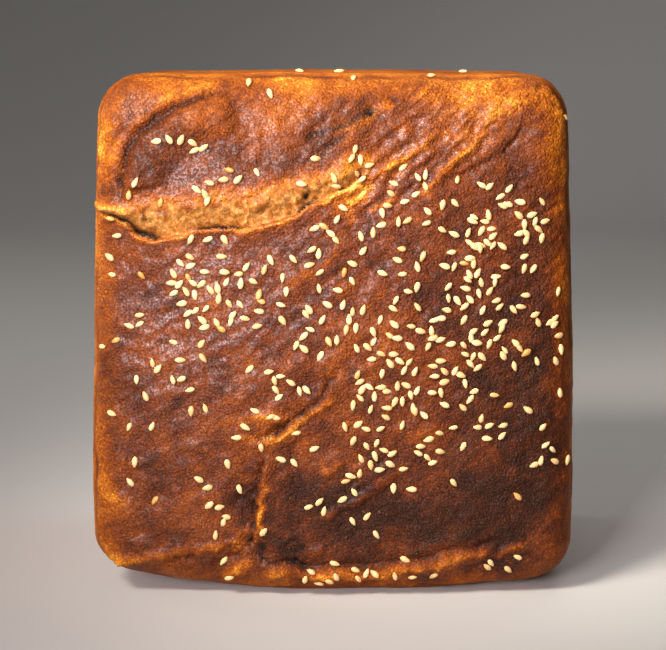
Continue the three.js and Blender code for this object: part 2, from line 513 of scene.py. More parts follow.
@dataclass(frozen=True)
class Burst:
    """The long tear below the upper lobe, in millimetres across and up.

    The lower crust ends in a thin raised lip. Behind it the tear drops into gaps painted black as painted
    shade, and the torn crumb climbs from there, rounded and fibrous, to the lower edge of the upper lobe.
    """

    lip: Line = (
        (-72, 38.5), (-66, 37.5), (-62, 35), (-59, 31.8), (-54, 30.6), (-47, 32.2), (-39, 33.8), (-26, 34.2),
        (-19, 36), (-13, 38), (-8, 40.2), (-3, 41.8), (1, 44.2), (5, 47.4), (11, 51.4), (18, 55),
    )
    lobe: Line = (
        (-72, 40), (-66, 40.2), (-60, 39.5), (-51, 40.6), (-39, 42), (-26, 43), (-12, 46.4), (-1, 49.4),
        (5, 51.6), (11, 53.4), (18, 56),
    )
    gaps: tuple[tuple[float, float, float, float], ...] = (
        (-57.0, 5.0, 3.4, 1.7),
        (-33.5, 8.0, 2.4, 0.8),
        (-8.5, 2.4, 1.4, 0.8),
        (-66.0, 3.5, 1.2, 0.7),
    )
    lip_rise: float = 1.0
    lip_run: float = 4.0
    lip_edge: float = 0.8
    floor: float = 1.3
    lobe_rise: float = 1.9
    lobe_run: float = 17.0
    fibre_height: float = 0.5
    right_end: float = 12.0
    left_end: float = -70.0

    def press(self, skin: Skin) -> None:
        """Tears the crust open.

        Args:
            skin: The crust, which is changed.
        """
        across, up = skin.spots[:, 0], skin.spots[:, 1]
        lip = np.interp(across, *smooth_line(self.lip).T)
        lobe = np.interp(across, *smooth_line(self.lobe).T)
        ragged = 0.5 * noise_at(skin.places, 2.6, 2)
        width = np.maximum(1.0, lobe - lip)
        above = up - lip - 0.25 * noise_at(skin.places, 3.0, 2)
        share = above / width
        ends = smooth_step(across, self.left_end - 3.0, self.left_end + 6.0)
        ends *= smooth_step(self.right_end - across, -2.0, 9.0)
        here = ends * skin.facing

        lip_part = self.lip_rise * np.exp(np.minimum(0.0, above) / self.lip_run)
        climb = np.sin(0.5 * np.pi * np.clip(share, 0.0, 1.0)) ** 1.3
        band_part = (self.lobe_rise + self.floor) * climb - self.floor
        lobe_part = self.lobe_rise * np.exp(-((np.maximum(0.0, above - width) / self.lobe_run) ** 2))
        form = np.where(above < 0.0, lip_part, np.where(share < 1.0, band_part, lobe_part))
        # The gaps are painted black: painted shade in the deep tear.
        gap, black = np.zeros(len(above)), np.zeros(len(above))
        for middle, reach, depth, opening in self.gaps:
            near = np.exp(-(np.abs((across - middle) / reach) ** 3))
            behind = np.where(above > 0.0, np.exp(-((above / opening) ** 2)), 0.0)
            gap += depth * near * behind
            black += near * behind
        fibres = noise_at(skin.places, (1.7, 2.0, 2.6), 3)
        cells = cells_at(skin.places + 3.0, (1.7, 2.0, 2.4))
        in_band = smooth_step(above, 0.1, 0.9) * smooth_step(1.3 - share + ragged * 0.7, 0.0, 0.75)
        rough = self.fibre_height * (0.9 * fibres + 0.9 * (0.45 - cells)) * in_band

        skin.rise += (form - gap + rough) * here
        skin.crumb += in_band * here
        skin.char += black * here
        browning = np.exp(-(((above - width) / 4.2) ** 2)) * smooth_step(share, 0.4, 1.0)
        skin.bake -= (0.34 + 0.16 * ragged) * browning * here
        rim = np.exp(-(((above + 0.35) / self.lip_edge) ** 2)) * here
        skin.bake -= 0.42 * rim
        skin.rise += 0.35 * rim


@dataclass(frozen=True)
class Rim:
    """The line around the loaf, behind its shoulder, where the dough rose over the tin's rim.

    Attributes:
        behind: How far behind the shoulders of the top crust it lies, in millimetres.
        step: How far the dough above it overhangs.
        groove: Depth of the groove along it.
        groove_run: Half width of that groove.
    """

    behind: float = 6.0
    step: float = 0.6
    groove: float = 0.8
    groove_run: float = 1.0

    def press(self, skin: Skin, from_crown: Array) -> None:
        """Presses the tin's rim into the crust.

        Args:
            skin: The crust, which is changed.
            from_crown: How far behind the shoulders each vertex is, in millimetres.
        """
        wander = 0.9 * noise_at(skin.places * (1.0, 0.0, 1.0), 22.0, 3)
        beyond = from_crown - self.behind - wander
        strength = 0.55 + 0.6 * noise_at(skin.places * (1.0, 0.0, 1.0) + 40.0, 14.0, 2)
        strength = np.clip(strength, 0.1, 1.2)
        groove = np.exp(-((beyond / self.groove_run) ** 2)) * strength
        overhang = np.exp(-(((beyond + 3.0) / 2.6) ** 2)) * strength
        skin.rise += self.step * overhang - self.groove * groove
        # The groove is painted darker and partly black: painted shade along it; the overhang above it is
        # painted paler.
        skin.bake += 0.34 * groove - 0.16 * overhang
        skin.char += 0.2 * groove


@dataclass
class CrustRelief:
    """Everything that the oven and the tin did to the plain form of the loaf."""

    burst: Burst = Burst()
    rim: Rim = Rim()

    def folds(self) -> Iterable[Crease]:
        """The folds, cracks and ridges of the top crust.

        Yields:
            Each of them, to be pressed in that order.
        """
        ridge, valley, fold, pillow = Profile.RIDGE, Profile.VALLEY, Profile.FOLD, Profile.PILLOW
        # The upper lobe's rounded left end, and the roll that crosses into the burst beside it
        yield Crease(
            ((-30, 75), (-39, 72), (-51, 67), (-58, 60.5), (-62, 53), (-62.5, 45), (-61, 41)),
            pillow, rise=2.3, run=5.0, dip=1.4, dip_run=0.7, crease_shade=0.75, ends=0.12, dulled=0.4, waver=0.2,
        )
        yield Crease(
            ((-32, 77), (-41, 74.4), (-53, 69.4), (-60.4, 62.4), (-64.6, 54), (-65, 45)),
            ridge, rise=0.5, run=1.3, paler=0.2, waver=0.2,
        )
        yield Crease(((-73, 41.5), (-69, 41), (-62, 38), (-59, 37)), ridge, rise=1.4, run=1.7, paler=0.22)
        yield Crease(((-72, 38.3), (-66, 37), (-61, 34.5)), valley, dip=1.0, dip_run=0.8, crease_shade=0.4)
        yield Crease(((-61, 69), (-66, 61), (-66.5, 53), (-66, 45)), ridge, rise=0.9, run=2.6, paler=0.1)
        yield Crease(((-68, 66), (-70, 58), (-70, 48)), valley, dip=0.5, dip_run=1.2, crease_shade=0.12)
        # Stretched skin at the upper right
        yield Crease(
            ((-9, 60), (-4, 62.5), (5, 65.3), (11, 68.2), (14, 69.6)), valley, dip=1.1, crease_shade=0.9, ends=0.12,
        )
        yield Crease(
            ((0, 61.3), (5, 64), (10, 66.8), (15, 70), (20, 72)), ridge, rise=0.6, run=1.1, paler=0.36,
        )
        yield Crease(((-9, 53.5), (-4, 56), (1, 60), (6, 64)), valley, dip=0.9, dip_run=0.9, crease_shade=0.8)
        yield Crease(((14, 71.6), (17, 72.6), (20, 72.6)), valley, dip=0.6, dip_run=0.5, crease_shade=0.5)
        yield Crease(((13, 49.6), (18, 53), (24, 56.6), (31, 61.5)), ridge, rise=0.7, run=1.1, paler=0.34)
        yield Crease(((15, 48.6), (20, 52), (26, 55.4)), valley, dip=0.8, dip_run=1.2, crease_shade=0.3)
        yield Crease(
            ((21, 42), (28, 46.5), (34, 51.8), (41, 59), (47, 65)), ridge, rise=0.6, run=1.0, paler=0.34
        )
        yield Crease(((31, 46), (37, 52), (43, 58), (49, 65)), valley, dip=0.9, dip_run=1.3, crease_shade=0.25)
        yield Crease(
            ((31, 47.5), (38, 51), (44, 54), (50, 57), (53, 60.5), (58, 67)),
            fold, rise=0.7, run=4.0, dip=0.8, dip_run=1.6, crease_shade=0.22,
        )
        yield Crease(((52, 69), (57, 70), (63, 70.8)), valley, dip=0.6, dip_run=0.6, crease_shade=0.4)
        yield Crease(((42, 66), (50, 69), (58, 73)), ridge, rise=0.4, run=2.0, paler=0.12)
        # Torn slits right of the burst
        yield Crease(((1, 45.6), (5, 48), (9, 51.4)), valley, dip=0.9, dip_run=0.6, crease_shade=0.5)
        yield Crease(((5, 43.2), (9, 45.8), (13, 49)), valley, dip=0.7, dip_run=0.5, crease_shade=0.45)
        yield Crease(((8, 40.6), (12, 42.4), (17, 45.6)), valley, dip=0.6, dip_run=0.5, crease_shade=0.4)
        yield Crease(((10, 39.8), (14, 41.4), (19, 44.6)), ridge, rise=0.4, run=0.9, paler=0.3)
        yield Crease(((3, 41.2), (7, 43), (11, 46.4)), ridge, rise=0.4, run=0.9, paler=0.28)
        # Faint pulls across the middle
        yield Crease(((-15, 17.5), (-7, 22), (0, 27), (6, 32)), ridge, rise=0.5, run=1.8, paler=0.16)
        yield Crease(((-1, 13), (5, 17), (9, 22)), ridge, rise=0.3, run=1.6, paler=0.12)
        yield Crease(((-46, 14), (-40, 12), (-33, 13.5)), ridge, rise=0.25, run=1.5, paler=0.1)
        yield Crease(((43, 22), (49, 24.5), (56, 29)), valley, dip=0.5, dip_run=0.6, crease_shade=0.2)
        yield Crease(((49, 16.5), (54, 20.5), (58, 22)), valley, dip=0.4, dip_run=0.5, crease_shade=0.2)
        # The bent fold in the middle
        yield Crease(
            ((3, -7), (0, -12), (-3, -17), (-9, -21), (-15, -25.5), (-21, -29), (-27, -31)),
            fold, rise=1.5, run=4.5, dip=2.0, dip_run=1.7, crease_shade=0.75, ends=0.2,
        )
        yield Crease(
            ((1.4, -14), (-2.8, -18.2), (-9, -22.6), (-15, -27.2), (-20.4, -30.2)),
            ridge, rise=0.4, run=0.9, paler=0.4,
        )
        yield Crease(
            ((-8, -21.5), (-14, -22.5), (-21, -22), (-29, -23.5)), ridge, rise=0.5, run=1.2, paler=0.2,
        )
        yield Crease(((-10, -24), (-17, -27.5), (-24, -29), (-30, -29)), ridge, rise=0.4, run=0.9, paler=0.24)
        yield Crease(((1, -18), (-1, -21), (-3, -25)), valley, dip=0.5, dip_run=0.8, crease_shade=0.25)
        yield Crease(
            ((-9.5, -29.3), (-12, -30.4), (-12.6, -32.6), (-11, -34.8)),
            valley, dip=0.6, dip_run=0.7, crease_shade=0.35,
        )
        # The crack at the lower left, its golden right side and the burnt foot of it
        yield Crease(
            ((-20, -33), (-21.5, -40), (-22.4, -48), (-23.4, -54.5), (-23.9, -61), (-22.5, -67)),
            fold, rise=1.6, run=5.0, dip=2.3, dip_run=2.0, crease_shade=0.62, ends=0.16,
        )
        yield Crease(
            ((-19.4, -38), (-20.5, -44), (-21.5, -51), (-22.4, -57), (-22.6, -63)),
            ridge, rise=0.5, run=0.9, paler=0.5
        )
        yield Crease(
            ((-22.5, -40), (-26, -45), (-29, -50), (-29.5, -55)), fold, dip=1.0, dip_run=2.2, crease_shade=0.3,
        )
        yield Crease(
            ((-38, -66), (-33, -62.5), (-27, -58.6), (-24.5, -56)), ridge, rise=0.8, run=1.3, paler=0.26,
        )
        yield Crease(((-44, -66), (-38, -63.6), (-33, -61)), ridge, rise=0.7, run=1.4, paler=0.24)
        yield Crease(((-35, -73.5), (-30, -71), (-23, -66.6)), ridge, rise=1.1, run=2.2, paler=0.3)
        yield Crease(((-37, -69), (-31, -66.5), (-26, -64)), valley, dip=0.9, dip_run=0.9, crease_shade=0.35)
        yield Crease(
            ((-71, -65.5), (-65, -67), (-57, -67.3), (-50, -65.5), (-43, -62.5)),
            ridge, rise=1.2, run=1.9, paler=0.28
        )
        yield Crease(((-52, -68.5), (-46, -67), (-41, -67.4)), valley, dip=1.0, dip_run=0.9, crease_shade=0.4)
        # Diagonal ridges of the lower middle
        yield Crease(((-4, -40.5), (0, -37), (3, -35.4)), ridge, rise=0.5, run=0.8, paler=0.2)
        yield Crease(((-6, -54), (-2, -52.4), (5, -49.4), (12, -45.6)), ridge, rise=0.8, run=1.5, paler=0.22)
        yield Crease(
            ((7, -50.5), (12, -47.4), (17, -44.2), (22, -40)), valley, dip=0.9, dip_run=0.9, crease_shade=0.4,
        )
        yield Crease(((9, -47), (15, -43.2), (20, -39.6)), ridge, rise=0.5, run=2.0, paler=0.12)
        yield Crease(((-10, -66), (-6, -64.4), (-2, -63.4)), ridge, rise=0.6, run=1.2, paler=0.16)
        yield Crease(((12, -66.5), (16, -64), (19, -62)), valley, dip=0.6, dip_run=0.8, crease_shade=0.35)
        yield Crease(((22, -30), (27, -26.5), (33, -24)), ridge, rise=0.35, run=1.8, paler=0.1)
        # The ribbon of pale crust along the lower edge
        yield Crease(
            (
                (-22, -72), (-14, -71.6), (-5, -72), (8, -72), (17, -71), (26, -69.5), (35, -68), (42, -66),
                (50, -64.9),
            ),
            ridge, rise=1.5, run=2.1, paler=0.34, ends=0.06,
        )
        yield Crease(
            ((-20, -68.4), (-12, -68.4), (0, -69), (12, -68.6), (22, -67), (34, -65), (44, -63), (52, -61.5)),
            valley, dip=1.1, dip_run=0.8, crease_shade=0.42, ends=0.1,
        )
        yield Crease(((48, -66.5), (53, -65), (59, -62.5)), ridge, rise=0.8, run=1.5, paler=0.34)

    def patches(self) -> Iterable[Patch]:
        """The paler, more baked, raised and burnt ovals of the top crust, some darkened as painted shade.

        Yields:
            Each of them, to be pressed in that order.
        """
        # Orange shoulders
        yield Patch((-68, 58), (5.5, 17), bake=-0.26, rise=0.5)
        yield Patch((-55, 73), (14, 5), bake=-0.2)
        yield Patch((-10, 76), (46, 3.4), bake=-0.07)
        yield Patch((40, 72.5), (27, 4.0), bake=-0.2, ragged=0.5)
        yield Patch((66, 60), (7, 16), bake=-0.2, gloss=-0.3)
        yield Patch((69, 22), (4.2, 40), bake=-0.16, gloss=-0.2)
        yield Patch((-71, 6), (3.6, 40), bake=0.03)
        yield Patch((-68, -45), (9, 22), bake=-0.08)
        yield Patch((-67, -49), (2.6, 2), bake=-0.25)
        yield Patch((-56, -69), (16, 5), bake=-0.08)
        # The upper lobe, and the skin stretched beside it
        yield Patch((-48, 56), (13, 12), turn=20, bake=0.1, gloss=0.1)
        yield Patch((-38, 68), (12, 5), turn=12, bake=-0.12)
        yield Patch((-12, 68), (17, 6), turn=15, bake=-0.14, gloss=0.3)
        # The paler bake here is partly stretched skin and partly painted highlight for the sheen of the
        # light.
        yield Patch((22, 60), (22, 11), turn=34, bake=-0.12, gloss=0.8)
        yield Patch((40, 62), (15, 8), turn=36, bake=-0.1, gloss=0.5)
        yield Patch((50, 69), (10, 5), turn=10, bake=-0.1)
        yield Patch((-46, 2), (28, 50), bake=-0.02, gloss=0.5)
        yield Patch((-22, 46), (12, 3), turn=14, bake=-0.1)
        # The torn skin right of the burst
        yield Patch((7, 45.5), (7, 4.6), turn=38, bake=-0.36, rise=-0.5, ragged=0.6)
        # The pits along the tear are sunk and painted black: painted shade in them.
        yield Patch((-21, 39.6), (2.2, 1.5), turn=25, rise=-1.3, char=0.3)
        yield Patch((-17, 38.6), (1.0, 1.0), rise=-0.8, char=0.3)
        yield Patch((-8.2, 43.4), (1.3, 2.0), turn=-20, rise=-2.2, char=1.0)
        yield Patch((-5.2, 42.4), (0.9, 0.9), rise=-1.0, char=0.6)
        yield Patch((-13, 41), (1.1, 0.9), rise=-0.7, char=0.3)
        # The middle
        # The hollow of the bent fold is painted darker: painted shade in it.
        yield Patch((-7, -12), (5, 4), turn=40, rise=-0.9, bake=0.08, char=0.12)
        yield Patch((-14, -4), (2.6, 3.6), turn=-20, bake=-0.2, ragged=0.7)
        yield Patch((-1, -7.5), (2, 2.2), bake=-0.22, ragged=0.7)
        yield Patch((2, -9.6), (1.4, 1.6), bake=-0.2, ragged=0.7)
        yield Patch((-30, -24), (12, 4), turn=10, bake=-0.12)
        yield Patch((-31, -36), (7, 4), turn=30, bake=-0.14)
        # Darker lower middle: painted shade where the light falls off, partly a heavier bake.
        yield Patch((0, -43), (20, 9), turn=12, bake=0.16)
        yield Patch((15, -2), (14, 9), turn=20, bake=-0.1)
        yield Patch((28, -44), (14, 10), turn=30, bake=-0.03)
        # The crack at the lower left
        # Painted shade on the sunk left side of the crack.
        yield Patch((-26.5, -51), (3, 9), turn=-6, bake=0.14, rise=-0.8)
        yield Patch((-29, -63.5), (6, 3), turn=28, bake=-0.24, ragged=0.5)
        yield Patch((-21.4, -63.6), (1.7, 3.6), turn=8, rise=-0.9, char=0.9, ragged=0.8)
        yield Patch((-10.6, -64.4), (2, 2.8), turn=-20, rise=-0.6, char=0.65, ragged=0.8)
        yield Patch((-15, -68.2), (3.4, 1.2), rise=-0.4, char=0.5, ragged=0.8)
        yield Patch((-15, -62), (5, 5), bake=0.14, gloss=-0.1)
        # The darker lower right and lower middle: painted shade where the light falls off, partly a heavier
        # bake
        yield Patch((62, -30), (24, 44), bake=0.26, gloss=-0.35, ragged=0.3)
        yield Patch((46, -56), (30, 14), bake=0.14, gloss=-0.2, ragged=0.4)
        yield Patch((48, 12), (27, 26), bake=0.12, gloss=-0.12, ragged=0.3)
        yield Patch((8, -54), (30, 16), bake=0.2, gloss=-0.15, ragged=0.3)

    def grains(self) -> Iterable[Grain]:
        """The parts of the top crust that were stretched into fine wrinkles.

        Yields:
            Each of them, to be pressed in that order.
        """
        yield Grain((22, 60), (28, 12), turn=38, length=15.0, width=2.6, height=0.5, paler=0.1)
        yield Grain((40, 62), (20, 10), turn=46, length=12.0, width=1.7, height=0.36, paler=0.1)
        yield Grain((-8, 60), (18, 9), turn=28, length=10.0, width=1.9, height=0.36, paler=0.08)
        yield Grain((8, 46), (8, 6), turn=38, length=6.0, width=1.4, height=0.5, paler=0.2)
        yield Grain((50, 20), (9, 7), turn=28, length=7.0, width=1.3, height=0.3)
        yield Grain((-15, -24), (12, 7), turn=26, length=8.0, width=1.7, height=0.3, paler=0.12)
        yield Grain((10, -38), (24, 14), turn=33, length=9.0, width=2.2, height=0.2, paler=0.05)
        yield Grain((30, -5), (30, 30), turn=35, length=10.0, width=2.6, height=0.1, paler=0.03)
        yield Grain((-30, -62), (14, 6), turn=30, length=7.0, width=1.6, height=0.3, paler=0.1)

    def press(self, skin: Skin, form: LoafForm, from_crown: Array) -> None:
        """Shapes and paints the whole crust.

        Args:
            skin: The crust, which is changed.
            form: The loaf's plain form.
            from_crown: How far behind the shoulders each vertex is, in millimetres.
        """
        self.bake_evenly(skin, form, from_crown)
        self.swell_unevenly(skin)
        self.burst.press(skin)
        for feature in (*self.folds(), *self.grains(), *self.patches()):
            feature.press(skin)
        self.rim.press(skin, from_crown)

    def bake_evenly(self, skin: Skin, form: LoafForm, from_crown: Array) -> None:
        """Bakes the middle of the top crust dark and glossy, and its edges and the walls less so.

        Args:
            skin: The crust, which is changed.
            form: The loaf's plain form.
            from_crown: How far behind the shoulders each vertex is, in millimetres.
        """
        to_side = form.width / 2.0 - np.abs(skin.spots[:, 0])
        to_end = form.height / 2.0 - np.abs(skin.spots[:, 1])
        to_edge = np.minimum(to_side, to_end) + 2.0 * noise_at(skin.places, 12.0, 2)
        inward = smooth_step(to_edge, 2.0, 11.0)
        mottle = noise_at(skin.places, 17.0, 3)
        crown = 0.68 + 0.11 * inward + 0.08 * mottle
        in_corner = smooth_step(-to_side, -16.0, -2.0) * smooth_step(-to_end, -16.0, -2.0)
        to_base = smooth_step(from_crown, 74.0, 104.0)
        under_rim = np.exp(-((from_crown / 9.0) ** 2))
        wall = 0.45 + 0.08 * mottle + 0.17 * in_corner + 0.12 * to_base - 0.1 * under_rim
        skin.bake += wall + (crown - wall) * skin.facing
        skin.gloss += (0.5 * inward + 0.12 * noise_at(skin.places + 9.0, 15.0)) * skin.facing

    def swell_unevenly(self, skin: Skin) -> None:
        """Gives the whole crust its soft unevenness, pits and blisters.

        Args:
            skin: The crust, which is changed.
        """
        slow = noise_at(skin.places, 26.0, 2)
        medium = noise_at(skin.places + 31.0, 8.0, 2)
        fine = noise_at(skin.places + 57.0, 2.0, 2)
        own = rotated(skin.spots, 34.0)
        flow = noise_at(np.column_stack([own, np.zeros(len(own))]), (11.0, 2.6, 1.0), 2)
        blisters = np.maximum(0.0, 0.6 - cells_at(skin.places, 1.8)) * 0.5
        crown_part = 0.34 * medium + 0.18 * flow + 0.15 * fine + blisters
        wall_part = 0.12 * medium + 0.05 * fine
        skin.rise += 0.34 * slow + wall_part + (crown_part - wall_part) * skin.facing
        skin.bake += (0.05 * flow - 0.06 * medium) * skin.facing


# Shader pieces that several finishes share


@dataclass(frozen=True)
class Bake:
    """One step on the way from pale dough to burnt crust.

    Attributes:
        amount: How much it is baked, from 0 to 1.
        colour: Its colour, linear.
    """

    amount: float
    colour: Colour


BAKE_STEPS = (
    Bake(0.00, (0.84, 0.50, 0.15)),
    Bake(0.16, (0.72, 0.29, 0.026)),
    Bake(0.34, (0.43, 0.125, 0.009)),
    Bake(0.50, (0.26, 0.060, 0.0045)),
    Bake(0.66, (0.155, 0.033, 0.0055)),
    Bake(0.82, (0.080, 0.017, 0.005)),
    Bake(1.00, (0.020, 0.007, 0.004)),
)


class NodeTree:
    """Adds nodes to a shader tree and joins them."""

    def __init__(self, tree: bpy.types.NodeTree) -> None:
        """Takes the tree that is built.

        Args:
            tree: A material's or a group's node tree.
        """
        self.tree = tree

    def add(
        self, kind: str, inputs: dict[str | int, object] | None = None, **settings: object
    ) -> bpy.types.Node:
        """Adds one node.

        Args:
            kind: The node's type.
            inputs: A value for each input, or another node's output to join to it.
            **settings: The node's own settings.

        Returns:
            The new node.
        """
        node = self.tree.nodes.new(kind)
        for name, value in settings.items():
            setattr(node, name, value)
        for name, value in (inputs or {}).items():
            if isinstance(value, bpy.types.NodeSocket):
                self.tree.links.new(value, node.inputs[name])
            else:
                node.inputs[name].default_value = value
        return node

    def math(
        self, operation: str, first: object, second: object = 0.0, clamp: bool = False
    ) -> bpy.types.NodeSocket:
        """Works out one number from two.

        Args:
            operation: What is done, such as ADD.
            first: A number or a socket.
            second: A number or a socket.
            clamp: Whether the result stays from 0 to 1.

        Returns:
            The result's socket.
        """
        node = self.add("ShaderNodeMath", {0: first, 1: second}, operation=operation, use_clamp=clamp)
        return node.outputs[0]

    def mix(self, share: object, first: object, second: object) -> bpy.types.NodeSocket:
        """Mixes two colours.

        Args:
            share: How much of the second colour there is.
            first: The first colour, as three numbers or a socket.
            second: The second colour, as three numbers or a socket.

        Returns:
            The mixed colour's socket.
        """
        inputs: dict[str | int, object] = {0: share}
        for socket, colour in ((6, first), (7, second)):
            inputs[socket] = colour if isinstance(colour, bpy.types.NodeSocket) else (*colour, 1.0)
        return self.add("ShaderNodeMix", inputs, data_type="RGBA").outputs[2]

    def span(
        self, value: object, low: float, high: float, to_low: float = 0.0, to_high: float = 1.0
    ) -> bpy.types.NodeSocket:
        """Maps a number from one span to another, and clamps it.

        Args:
            value: The number's socket.
            low: Start of its span.
            high: End of its span.
            to_low: Start of the new span.
            to_high: End of the new span.

        Returns:
            The mapped number's socket.
        """
        inputs = {"Value": value, "From Min": low, "From Max": high, "To Min": to_low, "To Max": to_high}
        return self.add("ShaderNodeMapRange", inputs).outputs[0]


def new_group(
    name: str, inputs: dict[str, tuple[str, object]], outputs: dict[str, str]
) -> bpy.types.NodeTree:
    """Starts a shader node group.

    Args:
        name: The group's name.
        inputs: The kind and the default value of each input.
        outputs: The kind of each output.

    Returns:
        The group, with its sockets and without nodes.
    """
    group = bpy.data.node_groups.new(name, "ShaderNodeTree")
    for socket, (kind, value) in inputs.items():
        made = group.interface.new_socket(socket, in_out="INPUT", socket_type=kind)
        if value is not None:
            made.default_value = value
    for socket, kind in outputs.items():
        group.interface.new_socket(socket, in_out="OUTPUT", socket_type=kind)
    return group


def bake_colour_group() -> bpy.types.NodeTree:
    """The colour of crust by how much it is baked.

    Returns:
        A group from Bake to Colour.
    """
    group = new_group("bake_colour", {"Bake": ("NodeSocketFloat", 0.5)}, {"Colour": "NodeSocketColor"})
    tree = NodeTree(group)
    start = tree.add("NodeGroupInput")
    ramp = tree.add("ShaderNodeValToRGB", {"Fac": start.outputs["Bake"]})
    elements = ramp.color_ramp.elements
    for element, step in zip(elements, (BAKE_STEPS[0], BAKE_STEPS[-1])):
        element.position = step.amount
        element.color = (*step.colour, 1.0)
    for step in BAKE_STEPS[1:-1]:
        elements.new(step.amount).color = (*step.colour, 1.0)
    tree.add("NodeGroupOutput", {"Colour": ramp.outputs["Color"]})
    return group


def crust_grain_group() -> bpy.types.NodeTree:
    """The fine skin of baked crust: small blisters, pores and mottling.

    Returns:
        A group from a Place and a Blister Size, both in metres, to a Height, a Mottle, a Speck and a Pore.
    """
    inputs = {"Place": ("NodeSocketVector", None), "Blister Size": ("NodeSocketFloat", 0.9 * MM)}
    outputs = {name: "NodeSocketFloat" for name in ("Height", "Mottle", "Speck", "Pore")}
    group = new_group("crust_grain", inputs, outputs)
    tree = NodeTree(group)
    start = tree.add("NodeGroupInput")
    place, size = start.outputs["Place"], start.outputs["Blister Size"]
    scale = tree.math("DIVIDE", 1.0, size)
    warp, grit, slow, speck = (
        tree.add(
            "ShaderNodeTexNoise",
            {
                "Vector": place,
                "Scale": tree.math("MULTIPLY", scale, finer),
                "Detail": detail,
                "Roughness": roughness,
            },
        )
        for finer, detail, roughness in (
            (0.7, 2.0, 0.5), (1.9, 2.0, 0.6), (0.12, 5.0, 0.62), (1.0, 3.0, 0.75)
        )
    )
    stray = tree.add(
        "ShaderNodeVectorMath", {0: warp.outputs["Color"], 1: (0.5, 0.5, 0.5)}, operation="SUBTRACT"
    )
    strayed = tree.add(
        "ShaderNodeVectorMath",
        {0: stray.outputs[0], 1: (0.4 * MM, 0.4 * MM, 0.4 * MM), 2: place},
        operation="MULTIPLY_ADD",
    )
    blister = tree.add(
        "ShaderNodeTexVoronoi",
        {"Vector": strayed.outputs[0], "Scale": scale, "Smoothness": 0.2},
        feature="SMOOTH_F1",
    )
    dome = tree.math("SUBTRACT", 0.75, tree.math("POWER", blister.outputs["Distance"], 2.0))
    grain = tree.math("MULTIPLY", grit.outputs["Fac"], 0.8)
    height = tree.math("ADD", tree.math("MULTIPLY", dome, 1.3), grain)
    pit = tree.add(
        "ShaderNodeTexVoronoi", {"Vector": place, "Scale": tree.math("MULTIPLY", scale, 0.2)}, feature="F1"
    )
    tree.add(
        "NodeGroupOutput",
        {
            "Height": height,
            "Mottle": slow.outputs["Fac"],
            "Speck": speck.outputs["Fac"],
            "Pore": tree.span(pit.outputs["Distance"], 0.05, 0.24, 1.0, 0.0),
        },
    )
    return group


def torn_crumb_group() -> bpy.types.NodeTree:
    """Torn crumb: cream fibres and cells over golden crumb.

    Returns:
        A group from a Place in metres to a Colour and a Height.
    """
    inputs = {"Place": ("NodeSocketVector", None)}
    outputs = {"Colour": "NodeSocketColor", "Height": "NodeSocketFloat"}
    group = new_group("torn_crumb", inputs, outputs)
    tree = NodeTree(group)
    start = tree.add("NodeGroupInput")
    stretched = tree.add(
        "ShaderNodeMapping",
        {"Vector": start.outputs["Place"], "Rotation": (0.0, 0.35, 0.0), "Scale": (1.0, 1.0, 0.7)},
    )
    fibres = tree.add(
        "ShaderNodeTexNoise",
        {
            "Vector": stretched.outputs[0],
            "Scale": 0.95 / MM,
            "Detail": 5.0,
            "Roughness": 0.62,
            "Distortion": 0.6,
        },
    )
    cells = tree.add(
        "ShaderNodeTexVoronoi", {"Vector": stretched.outputs[0], "Scale": 0.55 / MM}, feature="F1"
    )
    walls = tree.math("MULTIPLY", cells.outputs["Distance"], 0.4)
    height = tree.math("ADD", fibres.outputs["Fac"], walls)
    ramp = tree.add("ShaderNodeValToRGB", {"Fac": tree.span(fibres.outputs["Fac"], 0.3, 0.72)})
    elements = ramp.color_ramp.elements
    elements[0].color = (0.22, 0.058, 0.008, 1.0)
    elements[1].color = (0.6, 0.39, 0.17, 1.0)
    elements.new(0.35).color = (0.32, 0.115, 0.018, 1.0)
    elements.new(0.65).color = (0.45, 0.205, 0.05, 1.0)
    tree.add("NodeGroupOutput", {"Colour": ramp.outputs["Color"], "Height": height})
    return group


@dataclass(frozen=True)
class SharedGroups:
    """The node groups that the finishes share."""

    bake_colour: bpy.types.NodeTree
    crust_grain: bpy.types.NodeTree
    torn_crumb: bpy.types.NodeTree

    @classmethod
    def made(cls) -> "SharedGroups":
        """Makes each group once."""
        return cls(bake_colour_group(), crust_grain_group(), torn_crumb_group())


# Finishes


